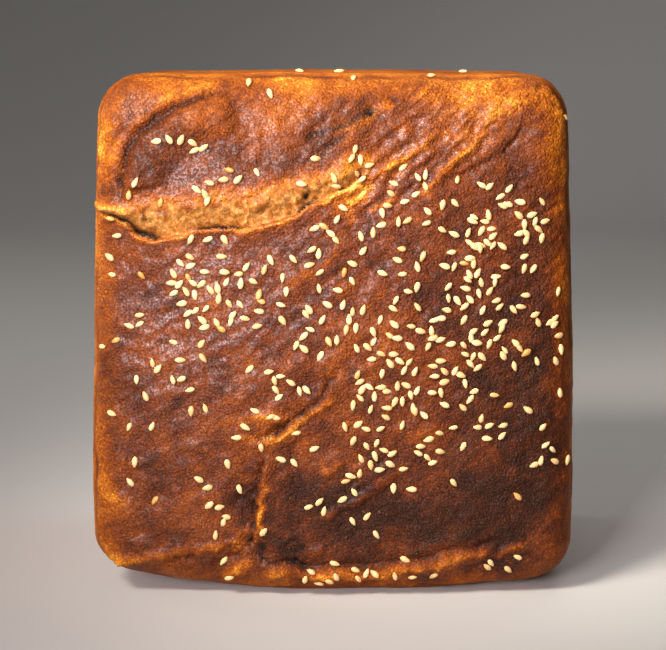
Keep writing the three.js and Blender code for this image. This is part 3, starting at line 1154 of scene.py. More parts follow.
@dataclass(frozen=True)
class CrustFinish:
    """Baked crust: orange-brown against the tin, glossy mahogany on top, torn crumb in the burst.

    Attributes:
        blister_size: Width of the finest blisters, in metres.
        blister_height: How far they stand out, in metres.
        matte_roughness: Roughness of the walls and the crumb.
        glossy_roughness: Roughness of the glossiest crust.
        coat_roughness: Roughness of the egg wash on the top crust.
    """

    blister_size: float = 0.72 * MM
    blister_height: float = 0.3 * MM
    matte_roughness: float = 0.52
    glossy_roughness: float = 0.26
    coat_roughness: float = 0.38

    def material(self, groups: SharedGroups) -> bpy.types.Material:
        """Builds the material.

        Args:
            groups: The node groups that it uses.

        Returns:
            The material, which reads the crust's painted attributes.
        """
        made = bpy.data.materials.new("baked_crust")
        made.use_nodes = True
        made.node_tree.nodes.clear()
        tree = NodeTree(made.node_tree)
        place = tree.add("ShaderNodeTexCoord").outputs["Object"]
        paint = {
            name: tree.add("ShaderNodeAttribute", attribute_name=name).outputs["Fac"]
            for name in PAINTED
        }
        grain = tree.add(
            "ShaderNodeGroup",
            {"Place": place, "Blister Size": self.blister_size},
            node_tree=groups.crust_grain,
        )
        mottle = tree.span(grain.outputs["Mottle"], 0.25, 0.75, -0.13, 0.13)
        speck = tree.span(grain.outputs["Speck"], 0.3, 0.7, -0.24, 0.24)
        wall = tree.span(paint["facing"], 0.0, 0.6, 1.0, 0.0)
        pore = tree.math("MULTIPLY", grain.outputs["Pore"], wall)
        crown_part = tree.span(wall, 0.0, 1.0, 1.0, 0.5)
        uneven = tree.math("ADD", mottle, tree.math("MULTIPLY", speck, crown_part))
        # The pores on the walls are painted a little darker: painted shade in the pits.
        pored = tree.math("ADD", uneven, tree.math("MULTIPLY", pore, 0.1))
        bake = tree.math("ADD", paint["bake"], pored)
        colour = tree.add("ShaderNodeGroup", {"Bake": bake}, node_tree=groups.bake_colour)
        crumb = tree.add("ShaderNodeGroup", {"Place": place}, node_tree=groups.torn_crumb)
        crumb_edge = tree.math("ADD", paint["crumb"], tree.math("MULTIPLY", speck, 1.6))
        crumb_share = tree.span(crumb_edge, 0.14, 0.86)
        skin_colour = tree.mix(crumb_share, colour.outputs["Colour"], crumb.outputs["Colour"])
        # Nearly black: burnt crust, and painted shade in creases, gaps and pits.
        char_and_shade_edge = tree.math("ADD", paint["char"], tree.math("MULTIPLY", speck, 0.8))
        char_and_shade_share = tree.span(char_and_shade_edge, 0.08, 0.85)
        base = tree.mix(char_and_shade_share, skin_colour, (0.012, 0.006, 0.004))
        skin_share = tree.math("SUBTRACT", 1.0, crumb_share)
        gloss = tree.math("MULTIPLY", paint["gloss"], skin_share, clamp=True)
        polish = tree.span(grain.outputs["Height"], 0.9, 1.34, 0.15, 1.0)
        roughness = tree.span(gloss, 0.0, 1.0, self.matte_roughness, self.glossy_roughness)
        rough_part = tree.math("MULTIPLY", crown_part, tree.span(paint["gloss"], 0.0, 0.3, 0.6, 1.0))
        skin_height = tree.math("MULTIPLY", grain.outputs["Height"], rough_part)
        pored_height = tree.math("SUBTRACT", skin_height, tree.math("MULTIPLY", pore, 0.7))
        height = tree.mix(crumb_share, pored_height, crumb.outputs["Height"])
        bump = tree.add(
            "ShaderNodeBump", {"Height": height, "Distance": self.blister_height, "Strength": 1.0}
        )
        shader = tree.add(
            "ShaderNodeBsdfPrincipled",
            {
                "Base Color": base,
                "Roughness": roughness,
                "Coat Weight": tree.math("MULTIPLY", gloss, polish),
                "Coat Roughness": self.coat_roughness,
                "Specular IOR Level": 0.09,
                "Normal": bump.outputs[0],
            },
        )
        tree.add("ShaderNodeOutputMaterial", {"Surface": shader.outputs[0]})
        return made


# The crust


@dataclass
class Crust:
    """The loaf's whole crust as one closed skin: a grid for the top crust, rings for the rest.

    Attributes:
        form: The loaf's plain form.
        relief: What the oven and the tin did to it.
        finish: Its finish.
        across_steps: Faces across the top crust.
        up_steps: Faces up the top crust.
        wall_rings: Rings of faces along the walls.
        base_rings: Rings of faces on the base.
    """

    form: LoafForm = LoafForm()
    relief: CrustRelief = field(default_factory=CrustRelief)
    finish: CrustFinish = CrustFinish()
    across_steps: int = 216
    up_steps: int = 228
    wall_rings: int = 34
    base_rings: int = 20

    def skin_box(self) -> bmesh.types.BMesh:
        """The unit box that the crust is shaped from.

        Returns:
            A closed mesh whose top crust is a grid at y = -1.
        """
        bm = bmesh.new()
        bmesh.ops.create_grid(bm, x_segments=self.across_steps, y_segments=self.up_steps, size=1.0)
        upright = Matrix.Rotation(math.radians(90.0), 3, "X")
        bmesh.ops.rotate(bm, verts=bm.verts, cent=(0.0, 0.0, 0.0), matrix=upright)
        bmesh.ops.translate(bm, verts=bm.verts, vec=(0.0, -1.0, 0.0))
        edges = [edge for edge in bm.edges if edge.is_boundary]
        for _ in range(self.wall_rings):
            verts, edges = self.next_ring(bm, edges)
            bmesh.ops.translate(bm, verts=verts, vec=(0.0, 2.0 / self.wall_rings, 0.0))
        for ring in range(self.base_rings, 1, -1):
            verts, edges = self.next_ring(bm, edges)
            shrink = (ring - 1.0) / ring
            bmesh.ops.scale(bm, verts=verts, vec=(shrink, 1.0, shrink))
        verts, edges = self.next_ring(bm, edges)
        bmesh.ops.pointmerge(bm, verts=verts, merge_co=(0.0, 1.0, 0.0))
        bmesh.ops.recalc_face_normals(bm, faces=bm.faces)
        return bm

    @staticmethod
    def next_ring(bm: bmesh.types.BMesh, edges: list) -> tuple[list, list]:
        """Extrudes the open edge of the mesh.

        Args:
            bm: The mesh.
            edges: Its open edges.

        Returns:
            The new vertices and the new open edges.
        """
        made = bmesh.ops.extrude_edge_only(bm, edges=edges)["geom"]
        verts = [item for item in made if isinstance(item, bmesh.types.BMVert)]
        open_edges = [item for item in made if isinstance(item, bmesh.types.BMEdge) and item.is_boundary]
        return verts, open_edges

    @staticmethod
    def crowded(value: Array, spots: Sequence[Place]) -> Array:
        """Moves even steps closer together where the crust needs finer faces.

        Args:
            value: Even steps from -1 to 1.
            spots: The place, the spread and the extra density of each stretch of finer faces.

        Returns:
            The moved steps, also from -1 to 1.
        """
        fine = np.linspace(-1.0, 1.0, 4001)
        density = np.ones(len(fine))
        for place, spread, extra in spots:
            density += extra * np.exp(-(((fine - place) / spread) ** 2))
        total = np.concatenate([[0.0], np.cumsum((density[1:] + density[:-1]) / 2.0)])
        return np.interp(value, 2.0 * total / total[-1] - 1.0, fine)

    def build(self) -> bpy.types.Object:
        """Shapes and paints the crust.

        Returns:
            The finished crust.
        """
        bm = self.skin_box()
        mesh = bpy.data.meshes.new("loaf_crust")
        bm.to_mesh(mesh)
        bm.free()
        share = vertex_places(mesh)
        share[:, 0] = self.crowded(share[:, 0], ((-0.93, 0.07, 0.5), (0.93, 0.07, 0.5)))
        share[:, 1] = self.crowded(share[:, 1], ((-0.9, 0.12, 2.2), (0.97, 0.06, 1.5)))
        share[:, 2] = self.crowded(share[:, 2], ((-0.9, 0.08, 0.5), (0.48, 0.13, 0.8), (0.94, 0.06, 0.4)))
        from_crown = self.form.depth * (share[:, 1] + 1.0) / 2.0
        reach = np.max(np.abs(share[:, [0, 2]]), axis=1)
        in_from_wall = (1.0 - reach) * self.form.width / 2.0
        _, from_crown = round_edge(in_from_wall, from_crown, self.form.shoulder_radius)

        places = self.form.places(share)
        places += self.shift(places)
        set_vertex_places(mesh, places * MM)
        normals = vertex_normals(mesh)
        skin = self.skin(places, normals)
        self.relief.press(skin, self.form, from_crown)
        places = places + normals * skin.rise[:, None]
        places[:, 2] = np.maximum(0.0, places[:, 2])
        set_vertex_places(mesh, places * MM)
        for name in PAINTED:
            values = np.clip(getattr(skin, name), 0.0, 1.0).astype(np.float32)
            mesh.attributes.new(name, "FLOAT", "POINT").data.foreach_set("value", values)
        mesh.shade_smooth()
        crust = bpy.data.objects.new("loaf_crust", mesh)
        bpy.context.scene.collection.objects.link(crust)
        return crust

    def shift(self, places: Array) -> Array:
        """How far the form has to move to sit where the frame has the loaf.

        Args:
            places: The form's places, in millimetres.

        Returns:
            The move across, back and up, in millimetres.
        """
        low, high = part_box("loaf")
        across = (low.x + high.x) / 2.0 / MM - (places[:, 0].min() + places[:, 0].max()) / 2.0
        back = high.y / MM - places[:, 1].max()
        return np.array([across, back, 0.0])

    def skin(self, places: Array, normals: Array) -> Skin:
        """Starts the record of what is pressed into and painted on the crust.

        Args:
            places: The plain form's places, in millimetres.
            normals: Which way the form faces at each place.

        Returns:
            A flat, unpainted skin.
        """
        stray_across = 0.9 * noise_at(places, 9.0, 2) + 0.22 * noise_at(places + 5.0, 2.4)
        stray_up = 0.9 * noise_at(places + 71.0, 9.0, 2) + 0.22 * noise_at(places + 83.0, 2.4)
        across = places[:, 0] + stray_across
        up = places[:, 2] - self.form.middle_height() + stray_up
        facing = smooth_step(-normals[:, 1], 0.3, 0.72)
        return Skin(places, np.column_stack([across, up]), facing)

    def dress(self, crust: bpy.types.Object, groups: SharedGroups) -> None:
        """Gives the crust its finish and its place in the frame.

        Args:
            crust: The crust's object.
            groups: The shared node groups.
        """
        crust.data.materials.append(self.finish.material(groups))
        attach(crust, BODY)
        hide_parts("loaf")


def vertex_places(mesh: bpy.types.Mesh) -> Array:
    """Every vertex's place, one in each row."""
    places = np.empty(len(mesh.vertices) * 3)
    mesh.vertices.foreach_get("co", places)
    return places.reshape(-1, 3)


def set_vertex_places(mesh: bpy.types.Mesh, places: Array) -> None:
    """Moves every vertex.

    Args:
        mesh: The mesh that is changed.
        places: The new places, one in each row.
    """
    mesh.vertices.foreach_set("co", places.ravel())
    mesh.update()


def vertex_normals(mesh: bpy.types.Mesh) -> Array:
    """Which way each vertex faces, one in each row."""
    normals = np.empty(len(mesh.vertices) * 3, np.float32)
    mesh.vertex_normals.foreach_get("vector", normals)
    return normals.reshape(-1, 3).astype(float)


# Sesame seeds


class Approach(Enum):
    """The way from which seeds fell onto the crust: the direction in which they are pressed on."""

    FRONT = (0.0, 1.0, 0.0)
    LEFT = (1.0, 0.35, 0.0)
    RIGHT = (-1.0, 0.35, 0.0)
    TOP = (0.0, 0.45, -1.0)
    UNDER = (0.0, 0.8, 0.6)


@dataclass(frozen=True)
class Handful:
    """Seeds whose spots are listed one by one.

    Attributes:
        spots: Where each lies, in millimetres across the top crust and up from its middle.
        toast: How toasted they are, from 0 to 1.
    """

    spots: Line
    toast: float = 0.15


@dataclass(frozen=True)
class Sprinkle:
    """Seeds that were sprinkled at random over an oval.

    Attributes:
        spot: Its middle, in millimetres: across and up, or back and up on a side wall.
        size: Its half width and half height.
        count: How many seeds fell there.
        approach: The way from which they fell.
    """

    spot: Spot
    size: Spot
    count: int
    approach: Approach


HANDFULS = (
    # The upper lobe
    Handful(((-52, 60), (-49, 61), (-44, 60), (-39, 58), (-41, 57))),
    Handful(
        ((-37, 49), (-33, 50), (-29, 49), (-34, 48), (-39, 47), (-41, 45), (-38, 45), (-36, 46), (-37, 43)),
    ),
    Handful(((-58, 48), (-5, 55), (-9, 48), (5, 55), (-19, 74))),
    Handful(((-31, 52), (-60, 44), (-51, 42), (-66, 37)), toast=0.75),
    # Right above the tear's end
    Handful(((18, 48), (27, 47), (25, 45), (21, 42), (37, 49), (36, 42), (44, 48), (46, 47), (52, 46))),
    Handful(((50, 41), (52, 41), (55, 42), (62, 43), (0, 50), (3, 41), (1, 37))),
    # Left of the middle, in a hook
    Handful(((-64, 32), (-67, 25), (-66, 20), (-42, 30), (-37, 31), (-32, 30), (-33, 26))),
    Handful(
        ((-46, 23), (-42, 26), (-42, 23), (-38, 22), (-32, 22), (-32, 19), (-28, 21), (-26, 23), (-24, 19)),
    ),
    Handful(
        ((-46, 18), (-44, 16), (-42, 18), (-41, 15), (-39, 18), (-36, 16), (-34, 17), (-45, 14), (-43, 12)),
    ),
    Handful(((-41, 10), (-38, 11), (-31, 12), (-28, 12), (-40, 9), (-38, 8), (-35, 8), (-33, 7), (-30, 9))),
    Handful(((-27, 7), (-43, 6), (-38, 5), (-35, 5), (-22, 6), (-18, 25), (-4, 27), (-25, -7))),
    Handful(((-43, 20), (-57, 20), (-33, 5), (-65, 0), (-21, 13), (-22, 15), (-54, -49)), toast=0.7),
    Handful(
        ((-58, 8), (-61, 5), (-58, 5), (-69, -2), (-48, 0), (-54, -6), (-52, -8), (-48, -11), (-45, -11)),
    ),
    Handful(((-43, -14), (-59, -11), (-56, -16), (-67, -22), (-61, -26), (-54, -26), (-26, -25), (-29, -28))),
    Handful(((-60, -37), (-61, -43), (-40, -42), (-38, -44), (-28, -45), (-32, -37), (-21, -31), (-23, -20))),
    Handful(((-37, -50), (-34, -50), (-32, -53), (-33, -55), (-36, -59), (-21, -58))),
    # The knot beside the bent fold
    Handful(((-16, -8), (-15, -9), (-13, -10), (-12, -11), (-17, -11), (-17, -14), (-13, -13), (-16, -16))),
    Handful(((-10, -14), (-8, -14), (-19, -22), (-17, -22), (-11, -27), (-6, -32), (-12, -36))),
    # The middle
    Handful(
        ((-1, 33), (1, 31), (8, 32), (9, 28), (6, 24), (1, 16), (3, 12), (6, 10), (7, 5), (4, 5), (1, 2)),
    ),
    Handful(
        ((-4, 17), (-2, 12), (-7, 11), (-8, 9), (-3, 8), (-15, 12), (-14, 16), (-9, 3), (-7, 5), (-11, 0)),
    ),
    Handful(((-9, -1), (12, 4), (12, 1), (17, 3), (19, 0), (10, -1), (18, -3), (20, -5), (17, -6), (23, -5))),
    Handful(((-19, -8), (-3, 35), (3, 22), (-15, 7), (-1, 1), (14, -3), (7, -9), (4, -42)), toast=0.7),
    Handful(((21, -8), (24, -8), (8, -11), (11, -13), (14, -13), (17, -13), (19, -12), (22, -12), (8, -16))),
    Handful(
        ((12, -15), (15, -15), (23, -15), (22, -18), (24, -19), (25, -20), (27, -21), (12, -19), (12, -21)),
    ),
    Handful(((8, -24), (10, -25), (14, -25), (7, -28), (10, -32), (13, -30), (15, -32), (18, -33), (8, -35))),
    Handful(((13, -35), (28, -35), (30, -36), (5, -40), (8, -39), (14, -38), (21, -38), (6, -45), (18, -44))),
    Handful(((3, -48), (6, -55), (10, -53), (-4, -48), (-7, -50), (-3, -51), (22, -67), (8, -30))),
    # The thickly seeded right
    Handful(
        ((19, 37), (28, 40), (28, 36), (32, 34), (36, 33), (41, 37), (42, 38), (46, 38), (45, 36), (47, 34)),
    ),
    Handful(((49, 33), (59, 38), (60, 35), (63, 36), (61, 34), (57, 35), (55, 33), (57, 33), (58, 31))),
    Handful(
        ((40, 30), (42, 29), (44, 29), (46, 30), (47, 29), (48, 31), (44, 28), (35, 27), (41, 26), (27, 26)),
    ),
    Handful(
        ((19, 25), (33, 23), (36, 23), (42, 24), (40, 21), (43, 21), (40, 19), (51, 23), (48, 20), (48, 18)),
    ),
    Handful(
        ((57, 26), (57, 22), (60, 22), (44, 18), (39, 17), (47, 16), (34, 14), (37, 14), (43, 15), (41, 13)),
    ),
    Handful(
        ((39, 11), (49, 13), (50, 11), (57, 14), (67, 15), (56, 11), (54, 10), (45, 10), (39, 7), (34, 10)),
    ),
    Handful(
        ((32, 8), (30, 7), (60, 8), (61, 6), (65, 6), (66, 5), (67, 7), (26, 4), (29, 4), (30, 2), (32, 1)),
    ),
    Handful(
        ((35, 0), (23, 0), (46, 6), (42, 4), (41, 2), (45, 3), (49, 2), (50, 4), (51, 6), (43, 0), (47, 0)),
    ),
    Handful(
        ((55, 0), (28, -1), (34, -4), (39, -3), (42, -4), (45, -4), (51, -2), (51, -4), (67, -6), (69, -3)),
    ),
    Handful(((41, -6), (30, -10), (33, -8), (36, -8), (36, -10), (33, -11), (38, -9), (38, -12), (40, -12))),
    Handful(
        ((32, -15), (42, -15), (40, -17), (33, -18), (39, -19), (59, -21), (68, -16), (45, -23), (47, -25)),
    ),
    Handful(
        ((51, -25), (43, -26), (36, -25), (32, -27), (63, -26), (46, -29), (64, -32), (66, -33), (63, -36)),
    ),
    Handful(((61, -38), (67, -37), (48, -68), (47, -70), (56, -67))),
    Handful(((22, 37), (39, 33), (39, 24), (56, -2), (58, -3), (53, -19), (56, -47), (48, -16)), toast=0.75),
)

SPRINKLES = (
    Sprinkle((-49, 30), (9, 38), 9, Approach.LEFT),
    Sprinkle((-44, -18), (12, 30), 6, Approach.LEFT),
    Sprinkle((-48, 22), (10, 40), 34, Approach.RIGHT),
    Sprinkle((-46, -22), (12, 36), 20, Approach.RIGHT),
    Sprinkle((-30, 5), (30, 50), 7, Approach.RIGHT),
    Sprinkle((8, -74), (52, 5), 16, Approach.UNDER),
    Sprinkle((5, -30), (50, 10), 5, Approach.TOP),
)


@dataclass(frozen=True)
class SeedShape:
    """One sesame seed: a flattened drop, in millimetres.

    Attributes:
        length: From its point to its round end.
        width: Across its widest part.
        thickness: From its lower to its upper side.
        sides: Faces round it.
        rings: Faces along it.
        taper: How much narrower it is towards its point.
    """

    length: float = 3.2
    width: float = 1.78
    thickness: float = 1.2
    sides: int = 10
    rings: int = 7
    taper: float = 0.32

    def build(self) -> bpy.types.Mesh:
        """Makes the seed, lying flat at the origin with its point towards +Y.

        Returns:
            Its mesh, in metres.
        """
        bm = bmesh.new()
        bmesh.ops.create_uvsphere(bm, u_segments=self.sides, v_segments=self.rings, radius=0.5)
        lying = Matrix.Rotation(math.radians(-90.0), 3, "X")
        bmesh.ops.rotate(bm, verts=bm.verts, cent=(0.0, 0.0, 0.0), matrix=lying)
        for vert in bm.verts:
            towards_point = 2.0 * vert.co.y
            narrow = 1.0 - self.taper * max(0.0, towards_point + 0.25) ** 1.3
            vert.co.x *= narrow
            vert.co.z *= 1.0 - 0.6 * (1.0 - narrow)
        bmesh.ops.scale(bm, verts=bm.verts, vec=Vector((self.width, self.length, self.thickness)) * MM)
        mesh = bpy.data.meshes.new("one_sesame_seed")
        bm.to_mesh(mesh)
        bm.free()
        return mesh


@dataclass(frozen=True)
class SeedFinish:
    """Hulled sesame: satin cream, toasted gold here and there, browner at the point.

    Attributes:
        cream: Colour of a pale seed, linear.
        toasted: Colour of a toasted seed, linear.
        roughness: Its roughness.
        grain_height: Depth of its fine skin, in metres.
    """

    cream: Colour = (0.80, 0.56, 0.26)
    toasted: Colour = (0.58, 0.24, 0.04)
    roughness: float = 0.42
    grain_height: float = 0.05 * MM

    def material(self) -> bpy.types.Material:
        """Builds the material.

        Returns:
            The material, which reads each seed's toast and how near its point a place is.
        """
        made = bpy.data.materials.new("sesame_skin")
        made.use_nodes = True
        made.node_tree.nodes.clear()
        tree = NodeTree(made.node_tree)
        place = tree.add("ShaderNodeTexCoord").outputs["Object"]
        toast = tree.add("ShaderNodeAttribute", attribute_name="toast").outputs["Fac"]
        point = tree.add("ShaderNodeAttribute", attribute_name="point").outputs["Fac"]
        cloud = tree.add("ShaderNodeTexNoise", {"Vector": place, "Scale": 0.9 / MM, "Detail": 3.0})
        grain = tree.add("ShaderNodeTexNoise", {"Vector": place, "Scale": 4.0 / MM, "Detail": 2.0})
        clouds = tree.span(cloud.outputs["Fac"], 0.35, 0.7, -0.12, 0.22)
        patchy = tree.math("ADD", toast, clouds, clamp=True)
        share = tree.math("ADD", patchy, tree.math("MULTIPLY", point, 0.5), clamp=True)
        colour = tree.mix(share, self.cream, self.toasted)
        bump = tree.add(
            "ShaderNodeBump", {"Height": grain.outputs["Fac"], "Distance": self.grain_height}
        )
        shader = tree.add(
            "ShaderNodeBsdfPrincipled",
            {"Base Color": colour, "Roughness": self.roughness, "Normal": bump.outputs[0]},
        )
        tree.add("ShaderNodeOutputMaterial", {"Surface": shader.outputs[0]})
        return made


@dataclass
class SeedGroup:
    """Seeds that are one piece of the model: those of one part of the crust.

    Attributes:
        name: The piece's name.
        nodes: The seeds of the construction that it stands for.
        seats: Where each of its seeds sits, and how toasted it is.
    """

    name: str
    nodes: list[str] = field(default_factory=list)
    seats: list[tuple[Matrix, float]] = field(default_factory=list)


@dataclass
class Seeds:
    """All the sesame seeds on the crust.

    Attributes:
        shape: The shape of a seed.
        finish: The finish of the seeds.
        sink: Share of its thickness to which a seed is baked into the crust.
        touching: Distance under which a seed lies on its neighbour, in millimetres.
        apart: Least distance between sprinkled seeds, in millimetres.
        taken: Distance under which one of the construction's seeds takes a spot, in millimetres.
        nudge: How far a seed may lie from its spot, in millimetres.
        clear: How far in front of the loaf a seed starts, in metres.
        lowest: Height above the table under which no seed is sprinkled, in millimetres.
        under_depth: How far in front of the loaf's middle seeds stick on its underside, in millimetres.
        left_end: Where the left seeds end and those of the middle begin, in millimetres across.
        right_start: Where the right seeds begin, in millimetres across.
        seed: Start of the random numbers.
    """

    shape: SeedShape = SeedShape()
    finish: SeedFinish = SeedFinish()
    sink: float = 0.22
    touching: float = 1.5
    apart: float = 2.3
    taken: float = 2.1
    nudge: float = 0.45
    clear: float = 0.05
    lowest: float = 3.0
    under_depth: float = 52.0
    left_end: float = -20.0
    right_start: float = 24.0
    seed: int = 41

    def __post_init__(self) -> None:
        """Starts with no seed laid."""
        self.random = np.random.default_rng(self.seed)
        self.laid: list[Vector] = []
        self.from_frame: list[Vector] = []
        self.middle = 0.0
        self.groups = {
            name: SeedGroup(name)
            for name in ("seeds_on_lobe", "seeds_left", "seeds_middle", "seeds_right", "seeds_on_walls")
        }

    def build(self, crust: bpy.types.Object, form: LoafForm) -> list[bpy.types.Object]:
        """Lays every seed on the crust.

        Args:
            crust: The finished crust.
            form: The loaf's plain form.

        Returns:
            The pieces that hold the seeds.
        """
        tree = BVHTree.FromObject(crust, bpy.context.evaluated_depsgraph_get())
        self.middle = form.middle_height()
        self.lay_frame_seeds(tree)
        for handful in HANDFULS:
            for across, up in handful.spots:
                self.lay_by_hand(tree, across, up, handful.toast)
        for sprinkle in SPRINKLES:
            self.lay_sprinkle(tree, sprinkle)
        template = self.shape.build()
        return [self.joined(group, template) for group in self.groups.values() if group.seats]

    def group_of(self, across: float, up: float) -> SeedGroup:
        """The piece that a seed on the top crust belongs to.

        Args:
            across: Where it lies, in millimetres.
            up: The same, up from the middle.

        Returns:
            The piece.
        """
        burst = Burst()
        if across < burst.right_end and up > np.interp(across, *np.array(burst.lip, float).T):
            return self.groups["seeds_on_lobe"]
        if across < self.left_end:
            return self.groups["seeds_left"]
        return self.groups["seeds_middle" if across < self.right_start else "seeds_right"]

    def lay_frame_seeds(self, tree: BVHTree) -> None:
        """Seats the construction's own seeds on the finer crust, each where it was.

        Args:
            tree: The crust.
        """
        for name in sorted(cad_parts):
            if not name.startswith("sesame"):
                continue
            low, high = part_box(name)
            middle = (low + high) / 2.0
            across, up = middle.x / MM, middle.z / MM - self.middle
            group = self.group_of(across, up)
            group.nodes.append(name)
            start = Vector((middle.x, cad_box[0].y - self.clear, middle.z))
            self.seat(tree, start, Approach.FRONT, self.mostly_pale(0.15), group)
        self.from_frame = list(self.laid)

    def lay_by_hand(self, tree: BVHTree, across: float, up: float, toast: float) -> None:
        """Lays one seed, unless one of the construction's seeds lies there.

        Args:
            tree: The crust.
            across: Where it lies, in millimetres.
            up: The same, up from the middle.
            toast: How toasted it is.
        """
        right, higher = self.random.uniform(-self.nudge, self.nudge, 2)
        x, z = (across + right) * MM, (up + higher + self.middle) * MM
        is_taken = any(math.hypot(spot.x - x, spot.z - z) < self.taken * MM for spot in self.from_frame)
        toasted = self.mostly_pale(toast)
        if not is_taken:
            start = Vector((x, cad_box[0].y - self.clear, z))
            self.seat(tree, start, Approach.FRONT, toasted, self.group_of(across, up))

    def lay_sprinkle(self, tree: BVHTree, sprinkle: Sprinkle) -> None:
        """Scatters seeds over an oval of a wall or a shoulder.

        Args:
            tree: The crust.
            sprinkle: What is scattered.
        """
        way = Vector(sprinkle.approach.value).normalized()
        left = sprinkle.count
        for _ in range(60 * sprinkle.count):
            if left == 0:
                return
            along, up = self.random.normal(0.0, 0.5, 2) * sprinkle.size + sprinkle.spot
            if sprinkle.approach is Approach.UNDER:
                target = Vector((along, -self.under_depth, up + self.middle))
            elif sprinkle.approach is Approach.TOP:
                target = Vector((along, up, self.middle * 2.0))
            else:
                target = Vector((0.0, along, up + self.middle))
            start = target * MM - way * 0.3
            hit, _, _, _ = tree.ray_cast(start, way)
            crowded = hit is None or any((hit - other).length < self.apart * MM for other in self.laid)
            if crowded or hit.z < self.lowest * MM:
                continue
            self.seat(tree, start, sprinkle.approach, self.mostly_pale(0.2), self.groups["seeds_on_walls"])
            left -= 1

    def mostly_pale(self, toast: float) -> float:
        """How toasted a seed is, given how toasted its neighbours are."""
        return float(np.clip(toast + self.random.normal(0.0, 0.14), 0.0, 1.0))

    def seat(
        self, tree: BVHTree, start: Vector, approach: Approach, toast: float, group: SeedGroup
    ) -> None:
        """Presses one seed onto the crust.

        Args:
            tree: The crust.
            start: Where it starts, clear of the crust.
            approach: The way it goes.
            toast: How toasted it is.
            group: The piece that it joins.
        """
        turn, tilt, size, slim, settle = self.random.uniform(-1.0, 1.0, 5)
        hit, normal, _, _ = tree.ray_cast(start, Vector(approach.value).normalized())
        if hit is None:
            return
        normal = self.smooth_normal(tree, hit, normal)
        under = sum((hit - other).length < self.touching * MM for other in self.laid)
        lift = self.shape.thickness * (0.5 - self.sink - 0.1 * settle) + 0.55 * min(under, 2)
        facing = normal.to_track_quat("Z", "Y").to_matrix().to_4x4()
        spin = Matrix.Rotation(math.pi * turn, 4, "Z")
        lean = Matrix.Rotation(math.radians(9.0 + 12.0 * min(under, 1)) * tilt, 4, "X")
        grown = 1.0 + 0.11 * size
        scale = Matrix.Diagonal((grown * (1.0 + 0.1 * slim), grown, grown, 1.0))
        place = Matrix.Translation(hit + normal * lift * MM)
        group.seats.append((place @ facing @ spin @ lean @ scale, toast))
        self.laid.append(hit)

    @staticmethod
    def smooth_normal(tree: BVHTree, hit: Vector, normal: Vector) -> Vector:
        """Which way the crust faces around a spot, over about the size of a seed.

        Args:
            tree: The crust.
            hit: The spot.
            normal: Which way the face there points.

        Returns:
            The mean direction.
        """
        total = normal.copy()
        aside = normal.orthogonal().normalized()
        for corner in range(4):
            step = Matrix.Rotation(math.radians(90.0 * corner), 3, normal) @ aside
            near, other, _, _ = tree.find_nearest(hit + step * 1.2 * MM)
            if near is not None:
                total += other
        return total.normalized()

    def joined(self, group: SeedGroup, template: bpy.types.Mesh) -> bpy.types.Object:
        """Makes one piece of a group's seeds.

        Args:
            group: The group.
            template: The mesh of one seed.

        Returns:
            The piece.
        """
        bm = bmesh.new()
        toast_layer = bm.verts.layers.float.new("toast")
        point_layer = bm.verts.layers.float.new("point")
        count = len(template.vertices)
        for matrix, toast in group.seats:
            bm.from_mesh(template)
            bm.verts.ensure_lookup_table()
            for vert in bm.verts[-count:]:
                vert[toast_layer] = toast
                vert[point_layer] = max(0.0, 2.0 * vert.co.y / (self.shape.length * MM)) ** 3
            bmesh.ops.transform(bm, matrix=matrix, verts=bm.verts[-count:])
        mesh = bpy.data.meshes.new(group.name)
        bm.to_mesh(mesh)
        bm.free()
        mesh.shade_smooth()
        piece = bpy.data.objects.new(group.name, mesh)
        bpy.context.scene.collection.objects.link(piece)
        return piece

    def dress(self, pieces: Sequence[bpy.types.Object]) -> None:
        """Gives the seeds their finish and their place in the frame.

        Args:
            pieces: The pieces that hold the seeds.
        """
        material = self.finish.material()
        for piece in pieces:
            piece.data.materials.append(material)
            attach(piece, BODY)
            if self.groups[piece.name].nodes:
                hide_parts(*self.groups[piece.name].nodes)


# The studio


LOAF_MIDDLE = (0.0, 0.0, 0.0755)


@dataclass(frozen=True)
class SoftBox:
    """A square soft light with a grid, which keeps its light together.

    Attributes:
        name: The light's name.
        place: Where it is, in metres.
        size: Its width and height, in metres.
        power: Its power, in watts.
        colour: Its colour, linear.
        aim: What it points at, in metres.
        spread: How wide its grid lets the light out, in degrees.
    """

    name: str
    place: Place
    size: tuple[float, float]
    power: float
    colour: Colour
    aim: Place = LOAF_MIDDLE
    spread: float = 180.0

    def hang(self) -> None:
        """Puts the light in the scene."""
        light = bpy.data.lights.new(self.name, "AREA")
        light.shape = "RECTANGLE"
        light.size, light.size_y = self.size
        light.energy = self.power
        light.spread = math.radians(self.spread)
        light.color = self.colour
        lamp = bpy.data.objects.new(self.name, light)
        lamp.location = self.place
        lamp.rotation_euler = (Vector(self.aim) - lamp.location).to_track_quat("-Z", "Y").to_euler()
        bpy.context.scene.collection.objects.link(lamp)


